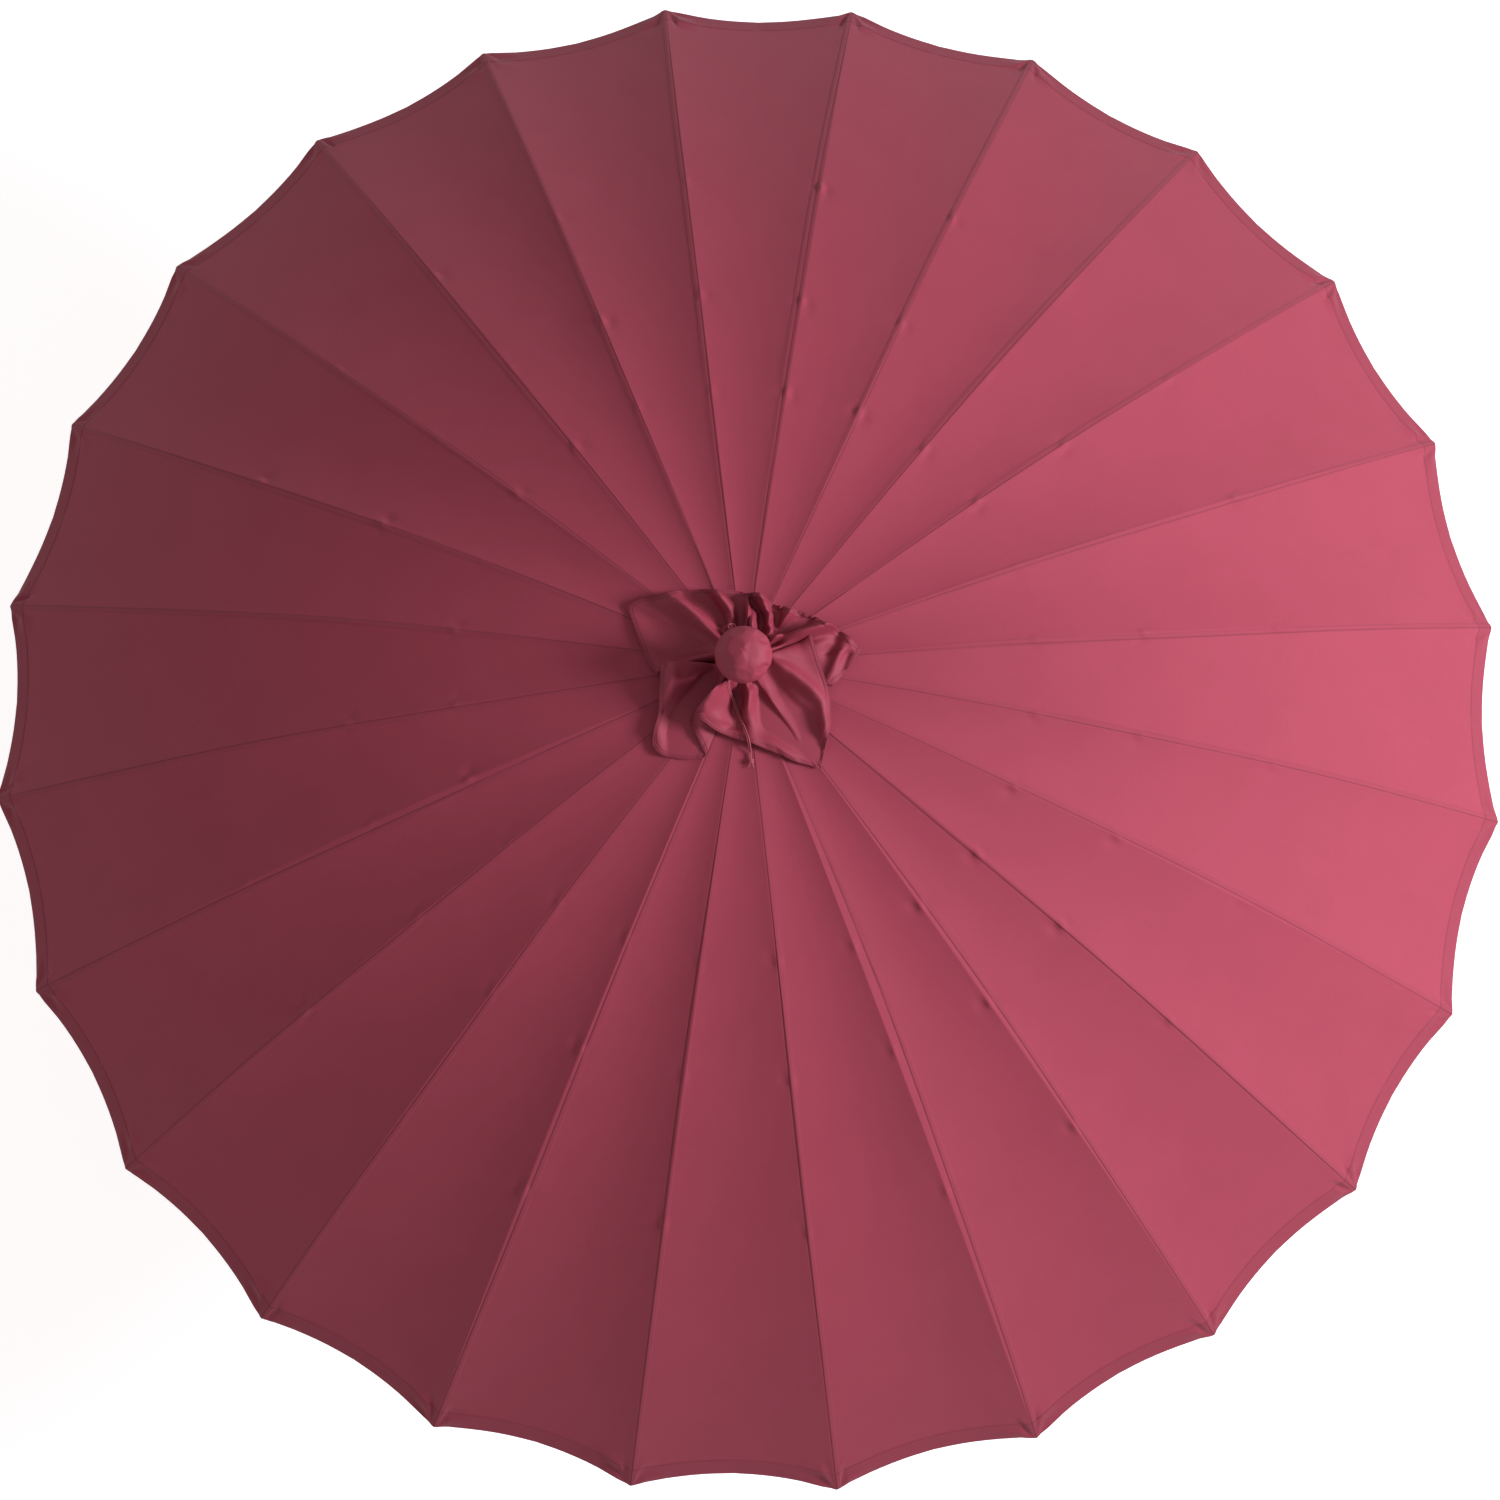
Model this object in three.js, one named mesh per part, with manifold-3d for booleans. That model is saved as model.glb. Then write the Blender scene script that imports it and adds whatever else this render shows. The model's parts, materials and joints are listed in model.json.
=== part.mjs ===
// Garden parasol with 24 ribs, crank lift and a tied cloth hood over the finial.
// Millimetres, +Z up, origin at the centre of the pole foot's underside.
import * as THREE from 'three';
import { mergeVertices } from 'three/addons/utils/BufferGeometryUtils.js';
import Module from 'manifold-3d';

const wasm = await Module();
wasm.setup();

// canopy
const RIBS = 24;
const FIRST_RIB_DEG = 96.53;
const CANOPY_R = 1350;
const RIM_Z = 1910;
const DOME_B = 0.4104;
const DOME_C = -0.0431;
const CLOTH = 1.2;
const SCALLOP = 25;
const GORE_SAG = 9;
const CENTRE_HOLE_R = 10;
const RINGS = [CENTRE_HOLE_R, 62, 200, 390, 590, 790, 980, 1170, CANOPY_R];

// ribs and stretchers
const HINGE_R = 50;
const HINGE_Z = 2397;
const RIB_ROD_R = 2.5;
const RIB_END_R = 1343;
const RIB_DROP = 5.6;
const ROOT_DROP = 2.4;
const BLADE_T = 3.4;
const BLADE_H = 9;
const BLADE_LEN = 22;
const PIN_R = 1.5;
const EYE_R = 1.6;
const PIVOT_R = 655;
const PIVOT_DROP = 9;
const STRETCHER_LEN = 700;
const STRETCHER_ROD_R = 2;
const STRETCHER_SIDE = 6.5;
const RUNNER_PIN_R = 45;

// pole
const POLE_R = 19;
const POLE_WALL = 1.5;
const LOWER_TOP = 800;
const SPIGOT_R = 17.2;
const SPIGOT_LEN = 150;
const PLUG_H = 3;
const SHOULDER_GAP = 0.2;

// hub and runner
const HUB_R = 58;
const HUB_SLOT_R = 44;
const HUB_BELOW = 7;
const HUB_ABOVE = 4.5;
const SLOT_W = 4.8;
const RUNNER_R = 52;
const RUNNER_SLOT_R = 39.5;
const RUNNER_HALF = 8;
const RUNNER_BORE_R = 19.6;
const RUNNER_SLEEVE_R = 27;

// finial and hood
const APEX_Z = RIM_Z + CANOPY_R * (DOME_B + DOME_C);
const BALL_R = 41.5;
const BALL_UP = 89;
const NECK_UP = 38;
const HOOD_GAP = 1.2;
const FINIAL_NECK_R = 9;
const HOOD_CORNERS = [[187, 24], [-185, 101], [-142, -128], [120, -163]];

// crank
const CRANK_Z = 888;
const AXLE_R = 4;
const AXLE_PLAY = 0.3;
const ARM_LEN = 95;
const KNOB_PIN_R = 3;

const place = (geometry, angle) => geometry.clone().rotateZ(angle);
const ribAngle = (k) => THREE.MathUtils.degToRad(FIRST_RIB_DEG - (360 / RIBS) * k);

function toSolid(geometry) {
  let clean = geometry.clone();
  clean.deleteAttribute('normal');
  clean.deleteAttribute('uv');
  clean = mergeVertices(clean, 1e-4);
  return new wasm.Manifold(new wasm.Mesh({
    numProp: 3,
    vertProperties: new Float32Array(clean.attributes.position.array),
    triVerts: new Uint32Array(clean.index.array),
  }));
}

function toGeometry(solid) {
  const mesh = solid.getMesh();
  const geometry = new THREE.BufferGeometry();
  geometry.setAttribute('position', new THREE.BufferAttribute(new Float32Array(mesh.vertProperties), 3));
  geometry.setIndex(new THREE.BufferAttribute(new Uint32Array(mesh.triVerts), 1));
  return geometry;
}

function join(...geometries) {
  return toGeometry(geometries.map(toSolid).reduce((a, b) => a.add(b)));
}

function cut(geometry, ...tools) {
  return toGeometry(tools.map(toSolid).reduce((a, b) => a.subtract(b), toSolid(geometry)));
}

function lathe(points, sides) {
  const profile = points.map(([r, z]) => new THREE.Vector2(r, z));
  return new THREE.LatheGeometry(profile, sides).rotateX(Math.PI / 2);
}

function rod(radius, length, sides) {
  return new THREE.CylinderGeometry(radius, radius, length, sides);
}

// a plate standing in the XZ plane, centred on y
function plate(shape, thickness, y) {
  const options = { depth: thickness, bevelEnabled: false, curveSegments: 3 };
  return new THREE.ExtrudeGeometry(shape, options).rotateX(Math.PI / 2).translate(0, y + thickness / 2, 0);
}

// a round bar along a line of [x, z] points in the XZ plane
function sweep(line, radius, sides) {
  const positions = [];
  const index = [];
  line.forEach(([x, z], i) => {
    const [x0, z0] = line[Math.max(i - 1, 0)];
    const [x1, z1] = line[Math.min(i + 1, line.length - 1)];
    const length = Math.hypot(x1 - x0, z1 - z0);
    for (let j = 0; j < sides; j += 1) {
      const a = (Math.PI * 2 * j) / sides;
      const up = radius * Math.cos(a);
      positions.push(x - (up * (z1 - z0)) / length, radius * Math.sin(a), z + (up * (x1 - x0)) / length);
    }
  });
  const last = (line.length - 1) * sides;
  for (let j = 0; j < sides; j += 1) {
    const next = (j + 1) % sides;
    for (let i = 0; i < last; i += sides) {
      index.push(i + j, i + sides + next, i + next, i + j, i + sides + j, i + sides + next);
    }
    if (j > 0 && next > 0) {
      index.push(0, j, next, last, last + next, last + j);
    }
  }
  const geometry = new THREE.BufferGeometry();
  geometry.setAttribute('position', new THREE.Float32BufferAttribute(positions, 3));
  geometry.setIndex(index);
  return geometry;
}

// a closed solid between an outer and an inner grid; rows share the same number of columns
function shell(outer, inner, wrap) {
  const rows = outer.length;
  const cols = outer[0].length;
  const positions = [...outer.flat(), ...inner.flat()].flatMap((p) => [p.x, p.y, p.z]);
  const index = [];
  const at = (side, i, j) => side * rows * cols + i * cols + (j % cols);
  const quad = (a, b, c, d) => index.push(a, b, c, a, c, d);
  for (let j = 0; j < (wrap ? cols : cols - 1); j += 1) {
    for (let i = 0; i < rows - 1; i += 1) {
      quad(at(0, i, j), at(0, i + 1, j), at(0, i + 1, j + 1), at(0, i, j + 1));
      quad(at(1, i, j), at(1, i, j + 1), at(1, i + 1, j + 1), at(1, i + 1, j));
    }
    quad(at(0, 0, j), at(0, 0, j + 1), at(1, 0, j + 1), at(1, 0, j));
    quad(at(0, rows - 1, j), at(1, rows - 1, j), at(1, rows - 1, j + 1), at(0, rows - 1, j + 1));
  }
  const geometry = new THREE.BufferGeometry();
  geometry.setAttribute('position', new THREE.Float32BufferAttribute(positions, 3));
  geometry.setIndex(index);
  return geometry;
}

function domeZ(r) {
  const q = r / CANOPY_R;
  return RIM_Z + CANOPY_R * (DOME_B * (1 - q * q) + DOME_C * (1 - q * q * q));
}

function domeSlope(r) {
  return (domeZ(r + 1) - domeZ(r - 1)) / 2;
}

function ribZ(r) {
  const near = THREE.MathUtils.clamp((200 - r) / 150, 0, 1);
  return domeZ(r) - (RIB_DROP + ROOT_DROP * near) * Math.hypot(1, domeSlope(r));
}

// canopy: one thin shell, ridged over every rib and scalloped between the tips
function canopyPoint(r, step, steps, drop) {
  const part = (step % steps) / steps;
  const k = Math.floor(step / steps);
  const bow = 4 * part * (1 - part);
  const a = ribAngle(-k);
  const b = ribAngle(-k - 1);
  const inward = 1 - (SCALLOP * bow * (r / CANOPY_R) ** 6) / CANOPY_R;
  const from = new THREE.Vector3(r * inward * Math.cos(a), r * inward * Math.sin(a), 0);
  const to = new THREE.Vector3(r * inward * Math.cos(b), r * inward * Math.sin(b), 0);
  const point = from.lerp(to, part);
  point.z = domeZ(r * inward) - GORE_SAG * bow * Math.sin(Math.PI * Math.min(1, r / CANOPY_R)) - drop;
  return point;
}

function canopy() {
  const steps = 2;
  const rows = (drop) => RINGS.map((r) => Array.from(
    { length: RIBS * steps },
    (_, j) => canopyPoint(r, j, steps, drop * Math.hypot(1, domeSlope(Math.max(r, 2)))),
  ));
  return shell(rows(0), rows(CLOTH), true);
}

// rib: bowed round rod, flat root with an eye, ear and stub pin for the stretcher
function rib() {
  const radii = [HINGE_R + BLADE_LEN - 4, ...RINGS.slice(2, -1), RIB_END_R];
  const bar = sweep(radii.map((r) => [r, ribZ(r)]), RIB_ROD_R, 6);
  const root = new THREE.Shape();
  root.absarc(HINGE_R, HINGE_Z, BLADE_H / 2, Math.PI / 2, (Math.PI * 3) / 2, false);
  root.lineTo(HINGE_R + BLADE_LEN, HINGE_Z - BLADE_H / 2);
  root.lineTo(HINGE_R + BLADE_LEN, HINGE_Z + BLADE_H / 2);
  const eye = rod(EYE_R, BLADE_T + 2, 10).translate(HINGE_R, 0, HINGE_Z);
  const pivotZ = ribZ(PIVOT_R) - PIVOT_DROP;
  const ear = new THREE.Shape();
  const tip = 9 * domeSlope(PIVOT_R);
  ear.moveTo(PIVOT_R - 9, pivotZ + PIVOT_DROP - tip);
  ear.lineTo(PIVOT_R - 4, pivotZ - 3.5);
  ear.lineTo(PIVOT_R + 4, pivotZ - 3.5);
  ear.lineTo(PIVOT_R + 9, pivotZ + PIVOT_DROP + tip);
  const pin = rod(PIN_R, 8, 10).translate(PIVOT_R, 5.6, pivotZ);
  const blade = cut(plate(root, BLADE_T, 0), eye);
  return join(bar, blade, plate(ear, 3.6, 0), pin);
}

// stretcher: straight rod with a flat eye at the rib and a flat rounded tongue at the runner
function stretcher() {
  const outer = new THREE.Vector3(PIVOT_R, STRETCHER_SIDE, ribZ(PIVOT_R) - PIVOT_DROP);
  const across = PIVOT_R - RUNNER_PIN_R;
  const tilt = Math.acos(across / STRETCHER_LEN);
  const bar = rod(STRETCHER_ROD_R, STRETCHER_LEN - 26, 6).rotateZ(Math.PI / 2).translate(-STRETCHER_LEN / 2, 0, 0);
  const tongue = (x, side) => {
    const shape = new THREE.Shape();
    const from = side > 0 ? Math.PI / 2 : -Math.PI / 2;
    shape.absarc(x, 0, 4, from, from + Math.PI, false);
    shape.lineTo(x + side * 16, -4 * side);
    shape.lineTo(x + side * 16, 4 * side);
    return plate(shape, 3.4, 0);
  };
  const eye = rod(EYE_R, 6, 10);
  const outerEye = cut(tongue(0, -1), eye);
  const flat = join(bar, outerEye, tongue(-STRETCHER_LEN, 1));
  return flat.rotateY(-tilt).translate(outer.x, outer.y, outer.z);
}

// notched ring: one radial slot per rib, offset sideways, through the full height
function notchedRing(innerR, slotR, outerR, side, low, high) {
  const ring = new THREE.Shape();
  const half = SLOT_W / 2;
  const offsets = [side - half, side + half];
  for (let k = 0; k < RIBS; k += 1) {
    const a = ribAngle(-k);
    const turn = (x, y) => [x * Math.cos(a) - y * Math.sin(a), x * Math.sin(a) + y * Math.cos(a)];
    const corners = [
      turn(Math.sqrt(outerR ** 2 - offsets[0] ** 2), offsets[0]),
      turn(slotR, offsets[0]),
      turn(slotR, offsets[1]),
      turn(Math.sqrt(outerR ** 2 - offsets[1] ** 2), offsets[1]),
    ];
    corners.forEach(([x, y], i) => {
      if (k === 0 && i === 0) {
        ring.moveTo(x, y);
      } else {
        ring.lineTo(x, y);
      }
    });
  }
  const hole = new THREE.Path();
  hole.absarc(0, 0, innerR, 0, Math.PI * 2, true);
  ring.holes.push(hole);
  const options = { depth: high - low, bevelEnabled: false, curveSegments: 24 };
  return new THREE.ExtrudeGeometry(ring, options).translate(0, 0, low);
}

function topHub() {
  const low = HINGE_Z - HUB_BELOW;
  const high = HINGE_Z + HUB_ABOVE;
  const ring = notchedRing(22, HUB_SLOT_R, HUB_R, 0, low, high);
  const sleeve = lathe([
    [POLE_R + 0.2, low - 38],
    [25, low - 38],
    [25, high - 1],
    [6.2, high - 1],
    [6.2, high - 5],
    [POLE_R + 0.2, high - 5],
    [POLE_R + 0.2, low - 38],
  ], 32);
  const pins = [];
  for (let k = 0; k < RIBS; k += 1) {
    pins.push(place(rod(PIN_R, SLOT_W + 1.6, 8).translate(HINGE_R, 0, HINGE_Z), ribAngle(k)));
  }
  return join(ring, sleeve, ...pins);
}

function runnerZ() {
  const across = PIVOT_R - RUNNER_PIN_R;
  return ribZ(PIVOT_R) - PIVOT_DROP - Math.sqrt(STRETCHER_LEN ** 2 - across ** 2);
}

function runner() {
  const z = runnerZ();
  const ring = notchedRing(23, RUNNER_SLOT_R, RUNNER_R, STRETCHER_SIDE, z - RUNNER_HALF, z + RUNNER_HALF);
  const sleeve = lathe([
    [RUNNER_BORE_R, z - 66],
    [RUNNER_SLEEVE_R - 2, z - 66],
    [RUNNER_SLEEVE_R, z - 62],
    [RUNNER_SLEEVE_R, z + 10],
    [RUNNER_SLEEVE_R - 3, z + 16],
    [RUNNER_BORE_R, z + 16],
    [RUNNER_BORE_R, z - 66],
  ], 32);
  return join(ring, sleeve);
}

function footPlug() {
  return lathe([
    [0, 0],
    [POLE_R, 0],
    [POLE_R, PLUG_H],
    [SPIGOT_R, PLUG_H],
    [SPIGOT_R - 1, PLUG_H + 30],
    [0, PLUG_H + 30],
  ], 24);
}

function lowerPole() {
  const inner = POLE_R - POLE_WALL;
  const base = PLUG_H + 0.3;
  return lathe([[inner, base], [POLE_R, base], [POLE_R, LOWER_TOP], [inner, LOWER_TOP], [inner, base]], 32);
}

function upperPole() {
  const inner = POLE_R - POLE_WALL;
  const bore = SPIGOT_R - POLE_WALL;
  const shoulder = LOWER_TOP + SHOULDER_GAP;
  const top = HINGE_Z + HUB_ABOVE - 5.4;
  return lathe([
    [bore, LOWER_TOP - SPIGOT_LEN],
    [SPIGOT_R, LOWER_TOP - SPIGOT_LEN],
    [SPIGOT_R, shoulder],
    [POLE_R, shoulder],
    [POLE_R, top],
    [inner, top],
    [inner, shoulder + 30],
    [bore, shoulder + 30],
    [bore, LOWER_TOP - SPIGOT_LEN],
  ], 32);
}

// finial: seat disc on the cloth, turned neck, ball, and a stud down into the hub
function finial() {
  const points = [[0, HINGE_Z - 4], [6, HINGE_Z - 4], [6, APEX_Z + 0.4], [20, APEX_Z + 0.4], [20, APEX_Z + 4]];
  points.push([FINIAL_NECK_R + 3, APEX_Z + 9]);
  points.push([FINIAL_NECK_R, APEX_Z + 24]);
  points.push([FINIAL_NECK_R, APEX_Z + NECK_UP + 4]);
  const centre = APEX_Z + BALL_UP;
  for (let i = 1; i <= 8; i += 1) {
    const a = -1.3 + ((Math.PI / 2 + 1.3) * i) / 8;
    points.push([Math.max(0, BALL_R * Math.cos(a)), centre + BALL_R * Math.sin(a)]);
  }
  points[points.length - 1][0] = 0;
  return lathe(points, 24);
}

// hood: square cloth over the ball, drawn in at the neck and spread over the canopy crown
function hoodEdge(angle) {
  const dir = new THREE.Vector2(Math.cos(angle), Math.sin(angle));
  let reach = 0;
  HOOD_CORNERS.forEach((corner, i) => {
    const p = new THREE.Vector2(...corner);
    const side = new THREE.Vector2(...HOOD_CORNERS[(i + 1) % HOOD_CORNERS.length]).sub(p);
    const det = dir.cross(side);
    const t = p.cross(side) / det;
    const s = p.cross(dir) / det;
    if (s >= -1e-9 && s <= 1 + 1e-9 && t > 0) {
      reach = t;
    }
  });
  return reach;
}

function hoodSkirtZ(r, angle, edge) {
  const run = Math.max(0, r - 14);
  const folds = 5 * Math.sin(Math.PI * Math.min(1, run / (edge - 14))) * (1 + Math.cos(6 * angle));
  return domeZ(r) + 2.4 + (NECK_UP - 2.4) * Math.exp(-run / 24) + folds;
}

function hoodPoint(row, angle, thick) {
  const edge = hoodEdge(angle);
  const centre = APEX_Z + BALL_UP;
  const radius = BALL_R + HOOD_GAP + thick;
  const ballRows = 7;
  if (row <= ballRows) {
    const a = Math.PI / 2 - ((Math.PI / 2 + 0.85) * row) / ballRows;
    return [radius * Math.cos(a), centre + radius * Math.sin(a)];
  }
  if (row === ballRows + 1) {
    return [12.6 + thick, APEX_Z + NECK_UP + 2];
  }
  const t = (row - ballRows - 1) / 4;
  const r = 12.6 + thick + (edge - 14) * t ** 1.4;
  return [r, hoodSkirtZ(r, angle, edge) - CLOTH + thick];
}

function hood() {
  const columns = 28;
  const corners = HOOD_CORNERS.map(([x, y]) => Math.atan2(y, x));
  const angles = Array.from({ length: columns }, (_, j) => {
    const plain = (Math.PI * 2 * j) / columns;
    const near = corners.find((c) => Math.abs(Math.sin((c - plain) / 2)) < Math.PI / columns / 2);
    return near === undefined ? plain : near;
  });
  const grid = (thick) => Array.from({ length: 12 }, (_, i) => angles.map((angle) => {
    const [r, z] = hoodPoint(i + 1, angle, thick);
    return new THREE.Vector3(r * Math.cos(angle), r * Math.sin(angle), z);
  }));
  const side = grid(CLOTH);
  const lining = grid(0);
  const skirt = shell(side, lining, true);
  return closeCrown(skirt, side, lining);
}

// closes the small openings left around the vertical axis at the first row of a shell
function closeCrown(geometry, outer, inner) {
  const cols = outer[0].length;
  const rows = outer.length;
  const positions = Array.from(geometry.attributes.position.array);
  const index = Array.from(geometry.index.array);
  const ringWall = (j) => {
    const next = (j + 1) % cols;
    return [j, next, rows * cols + next, j, rows * cols + next, rows * cols + j].join();
  };
  const walls = new Set(Array.from({ length: cols }, (_, j) => ringWall(j)));
  const kept = [];
  for (let i = 0; i < index.length; i += 6) {
    if (!walls.has(index.slice(i, i + 6).join())) {
      kept.push(...index.slice(i, i + 6));
    }
  }
  const centre = APEX_Z + BALL_UP;
  positions.push(0, 0, centre + BALL_R + HOOD_GAP + CLOTH, 0, 0, centre + BALL_R + HOOD_GAP);
  const top = 2 * rows * cols;
  for (let j = 0; j < cols; j += 1) {
    const next = (j + 1) % cols;
    kept.push(top, j, next, top + 1, rows * cols + next, rows * cols + j);
  }
  const closed = new THREE.BufferGeometry();
  closed.setAttribute('position', new THREE.Float32BufferAttribute(positions, 3));
  closed.setIndex(kept);
  return closed;
}

// drawstring: once round the hood's neck, then down over the skirt
function drawstring() {
  const points = [];
  const loopR = 17.8;
  for (let i = 0; i <= 12; i += 1) {
    const a = 4.6 - (5.7 * i) / 12;
    points.push(new THREE.Vector3(loopR * Math.cos(a), loopR * Math.sin(a), APEX_Z + NECK_UP + 1.4));
  }
  const tail = [[-13, -28], [-24, -38], [-24, -52], [-18, -68], [-12, -84], [-5, -104], [2, -124], [6, -144]];
  tail.forEach(([x, y]) => {
    const r = Math.hypot(x, y);
    const angle = Math.atan2(y, x);
    points.push(new THREE.Vector3(x, y, hoodSkirtZ(r, angle, hoodEdge(angle)) + 6.5));
  });
  const section = new THREE.Shape();
  section.absarc(0, 0, 1.5, 0, Math.PI * 2, false);
  const path = new THREE.CatmullRomCurve3(points);
  return new THREE.ExtrudeGeometry(section, { steps: 44, extrudePath: path, bevelEnabled: false, curveSegments: 4 });
}

function crankHousing() {
  const body = new THREE.Shape();
  const w = 31;
  const front = 44;
  body.moveTo(-24, -w);
  body.lineTo(front - 8, -w);
  body.lineTo(front, -w + 8);
  body.lineTo(front, w - 8);
  body.lineTo(front - 8, w);
  body.lineTo(-24, w);
  body.lineTo(-32, w - 10);
  body.lineTo(-32, -w + 10);
  const options = { depth: 76, bevelEnabled: true, bevelThickness: 4, bevelSize: 4, bevelSegments: 2 };
  const block = new THREE.ExtrudeGeometry(body, options).translate(0, 0, CRANK_Z - 38);
  const bore = rod(POLE_R + 0.15, 120, 32).rotateX(Math.PI / 2).translate(0, 0, CRANK_Z);
  const boss = rod(13, 10, 24).rotateZ(Math.PI / 2).translate(front + 7, 0, CRANK_Z);
  const axle = rod(AXLE_R + AXLE_PLAY, 44, 24).rotateZ(Math.PI / 2).translate(front + 4, 0, CRANK_Z);
  return cut(join(block, boss), bore, axle);
}

function crankArm() {
  const x = 60;
  const axle = rod(AXLE_R, 32, 24).rotateZ(Math.PI / 2).translate(x - 16, 0, CRANK_Z);
  const bar = new THREE.Shape();
  bar.absarc(0, 0, 11, 0, Math.PI, false);
  bar.absarc(0, -ARM_LEN, 9, Math.PI, Math.PI * 2, false);
  const options = { depth: 6, bevelEnabled: false, curveSegments: 8 };
  const arm = new THREE.ExtrudeGeometry(bar, options).rotateX(Math.PI / 2).rotateZ(Math.PI / 2);
  const pin = rod(KNOB_PIN_R, 54, 16).rotateZ(Math.PI / 2).translate(x + 30, 0, CRANK_Z - ARM_LEN);
  return join(axle, arm.translate(x, 0, CRANK_Z), pin);
}

function crankKnob() {
  const start = 67;
  const bore = KNOB_PIN_R + AXLE_PLAY;
  const profile = [[bore, 0], [9, 0], [12, 6], [10.5, 24], [12.5, 46], [9, 54], [0, 56], [0, 0.1], [bore, 0]];
  const knob = lathe([[0, 0], ...profile.slice(1, 7)], 24);
  const hole = rod(bore, 104, 16).rotateX(Math.PI / 2);
  return cut(knob, hole).rotateY(Math.PI / 2).translate(start, 0, CRANK_Z - ARM_LEN);
}

const COLOURS = {
  cloth: [0x8f2f3b, 0.85, 0],
  rod: [0x2b2b2d, 0.45, 0],
  steel: [0x35363a, 0.4, 0.6],
  plastic: [0x1d1d1f, 0.5, 0],
  cord: [0x8a3540, 0.8, 0],
  wood: [0x8a5a34, 0.6, 0],
};

const group = new THREE.Group();
function add(name, geometry, kind) {
  const [color, roughness, metalness] = COLOURS[kind];
  const flat = geometry.index ? geometry.toNonIndexed() : geometry;
  flat.computeVertexNormals();
  const mesh = new THREE.Mesh(flat, new THREE.MeshStandardMaterial({ color, roughness, metalness }));
  mesh.name = name;
  group.add(mesh);
}

const ribShape = rib();
const stretcherShape = stretcher();
for (let k = 0; k < RIBS; k += 1) {
  const number = String(k + 1).padStart(2, '0');
  add(`rib_${number}`, place(ribShape, ribAngle(k)), 'rod');
  add(`stretcher_${number}`, place(stretcherShape, ribAngle(k)), 'rod');
}
add('foot_plug', footPlug(), 'plastic');
add('lower_pole', lowerPole(), 'steel');
add('upper_pole', upperPole(), 'steel');
add('crank_housing', crankHousing(), 'plastic');
add('crank_arm', crankArm(), 'steel');
add('crank_knob', crankKnob(), 'plastic');
add('runner', runner(), 'plastic');
add('top_hub', topHub(), 'plastic');
add('finial', finial(), 'wood');
add('canopy', canopy(), 'cloth');
add('top_cap', hood(), 'cloth');
add('cap_cord', drawstring(), 'cord');

export default group;
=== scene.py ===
import json
import math

import bmesh
import bpy
import numpy as np
from mathutils import Matrix, Vector
from mathutils.bvhtree import BVHTree


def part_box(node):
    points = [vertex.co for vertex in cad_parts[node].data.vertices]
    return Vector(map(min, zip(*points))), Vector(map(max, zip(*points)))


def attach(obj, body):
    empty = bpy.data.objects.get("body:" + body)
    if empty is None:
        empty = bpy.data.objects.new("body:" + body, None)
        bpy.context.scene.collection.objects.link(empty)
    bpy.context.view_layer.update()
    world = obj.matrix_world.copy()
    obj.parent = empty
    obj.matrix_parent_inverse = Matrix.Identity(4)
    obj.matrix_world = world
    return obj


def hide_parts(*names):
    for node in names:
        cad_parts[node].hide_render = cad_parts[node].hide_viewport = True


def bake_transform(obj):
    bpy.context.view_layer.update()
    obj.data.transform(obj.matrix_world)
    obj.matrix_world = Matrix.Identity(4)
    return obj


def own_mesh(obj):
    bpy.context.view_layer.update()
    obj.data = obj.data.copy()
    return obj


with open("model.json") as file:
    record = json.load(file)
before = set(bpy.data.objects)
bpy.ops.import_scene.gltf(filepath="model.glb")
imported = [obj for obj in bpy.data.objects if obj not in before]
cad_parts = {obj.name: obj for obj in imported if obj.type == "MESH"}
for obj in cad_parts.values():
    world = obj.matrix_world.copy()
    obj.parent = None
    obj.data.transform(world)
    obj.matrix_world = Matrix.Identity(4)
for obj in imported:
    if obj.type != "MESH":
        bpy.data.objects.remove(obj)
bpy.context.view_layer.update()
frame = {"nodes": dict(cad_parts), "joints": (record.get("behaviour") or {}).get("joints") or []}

joints = {j["name"]: j for j in frame["joints"]}

# ---- sizes, metres
RIBS = 24
STEP = 2 * math.pi / RIBS  # angle from one rib to the next
R = 1.350  # from the axis to the canopy's corners
DOME_B, DOME_C = 0.4104, -0.0431  # the dome's rise as shares of R: square part and cube part
RIM_Z = 1.910
APEX_Z = RIM_Z + R * (DOME_B + DOME_C)
SCALLOP = 0.025  # how far the edge draws in between two ribs
SAG = 0.017  # how far the cloth hangs between two ribs
CLOTH_T = 0.0008
HEM = 0.028
CROWN_R = 0.060  # the crown sheet's radius, where the bands over the ribs begin
TIES = (0.35 * R, 0.485 * R, 0.665 * R)  # radii at which the cloth is tied to the ribs
hub_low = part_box("top_hub")[0]
runner_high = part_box("runner")[1]
finial_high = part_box("finial")[1]
house_low, house_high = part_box("crank_housing")
house_middle = (house_low.z + house_high.z) / 2
rng = np.random.default_rng(24)


def rib_angle(k):
    """Direction of rib k, square to its hinge's axis."""
    axis = joints[f"rib_{k % RIBS + 1:02d}_hinge"]["axis"]
    return math.atan2(-axis[0], axis[1])


def dome(r):
    """Height of the cloth over a rib, at radius r."""
    q = r / R
    return RIM_Z + R * (DOME_B * (1 - q * q) + DOME_C * (1 - q ** 3))


def smooth(x, a, b):
    """Smooth step from 0 at a to 1 at b."""
    t = np.clip((x - a) / (b - a), 0, 1)
    return t * t * (3 - 2 * t)


def peak(a, a_width, b=0.0, b_width=1.0):
    """Bell curve over a, or over a and b, with the height 1."""
    return np.exp(-(a / a_width) ** 2 - (b / b_width) ** 2)


# ---- camera, light, floor
CAMERA_TILT, CAMERA_TURN = 0.1553, 0.0551  # radians off straight above, and round the axis
CAMERA_AWAY = 3.0932 * R  # from the middle of the rim


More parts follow.
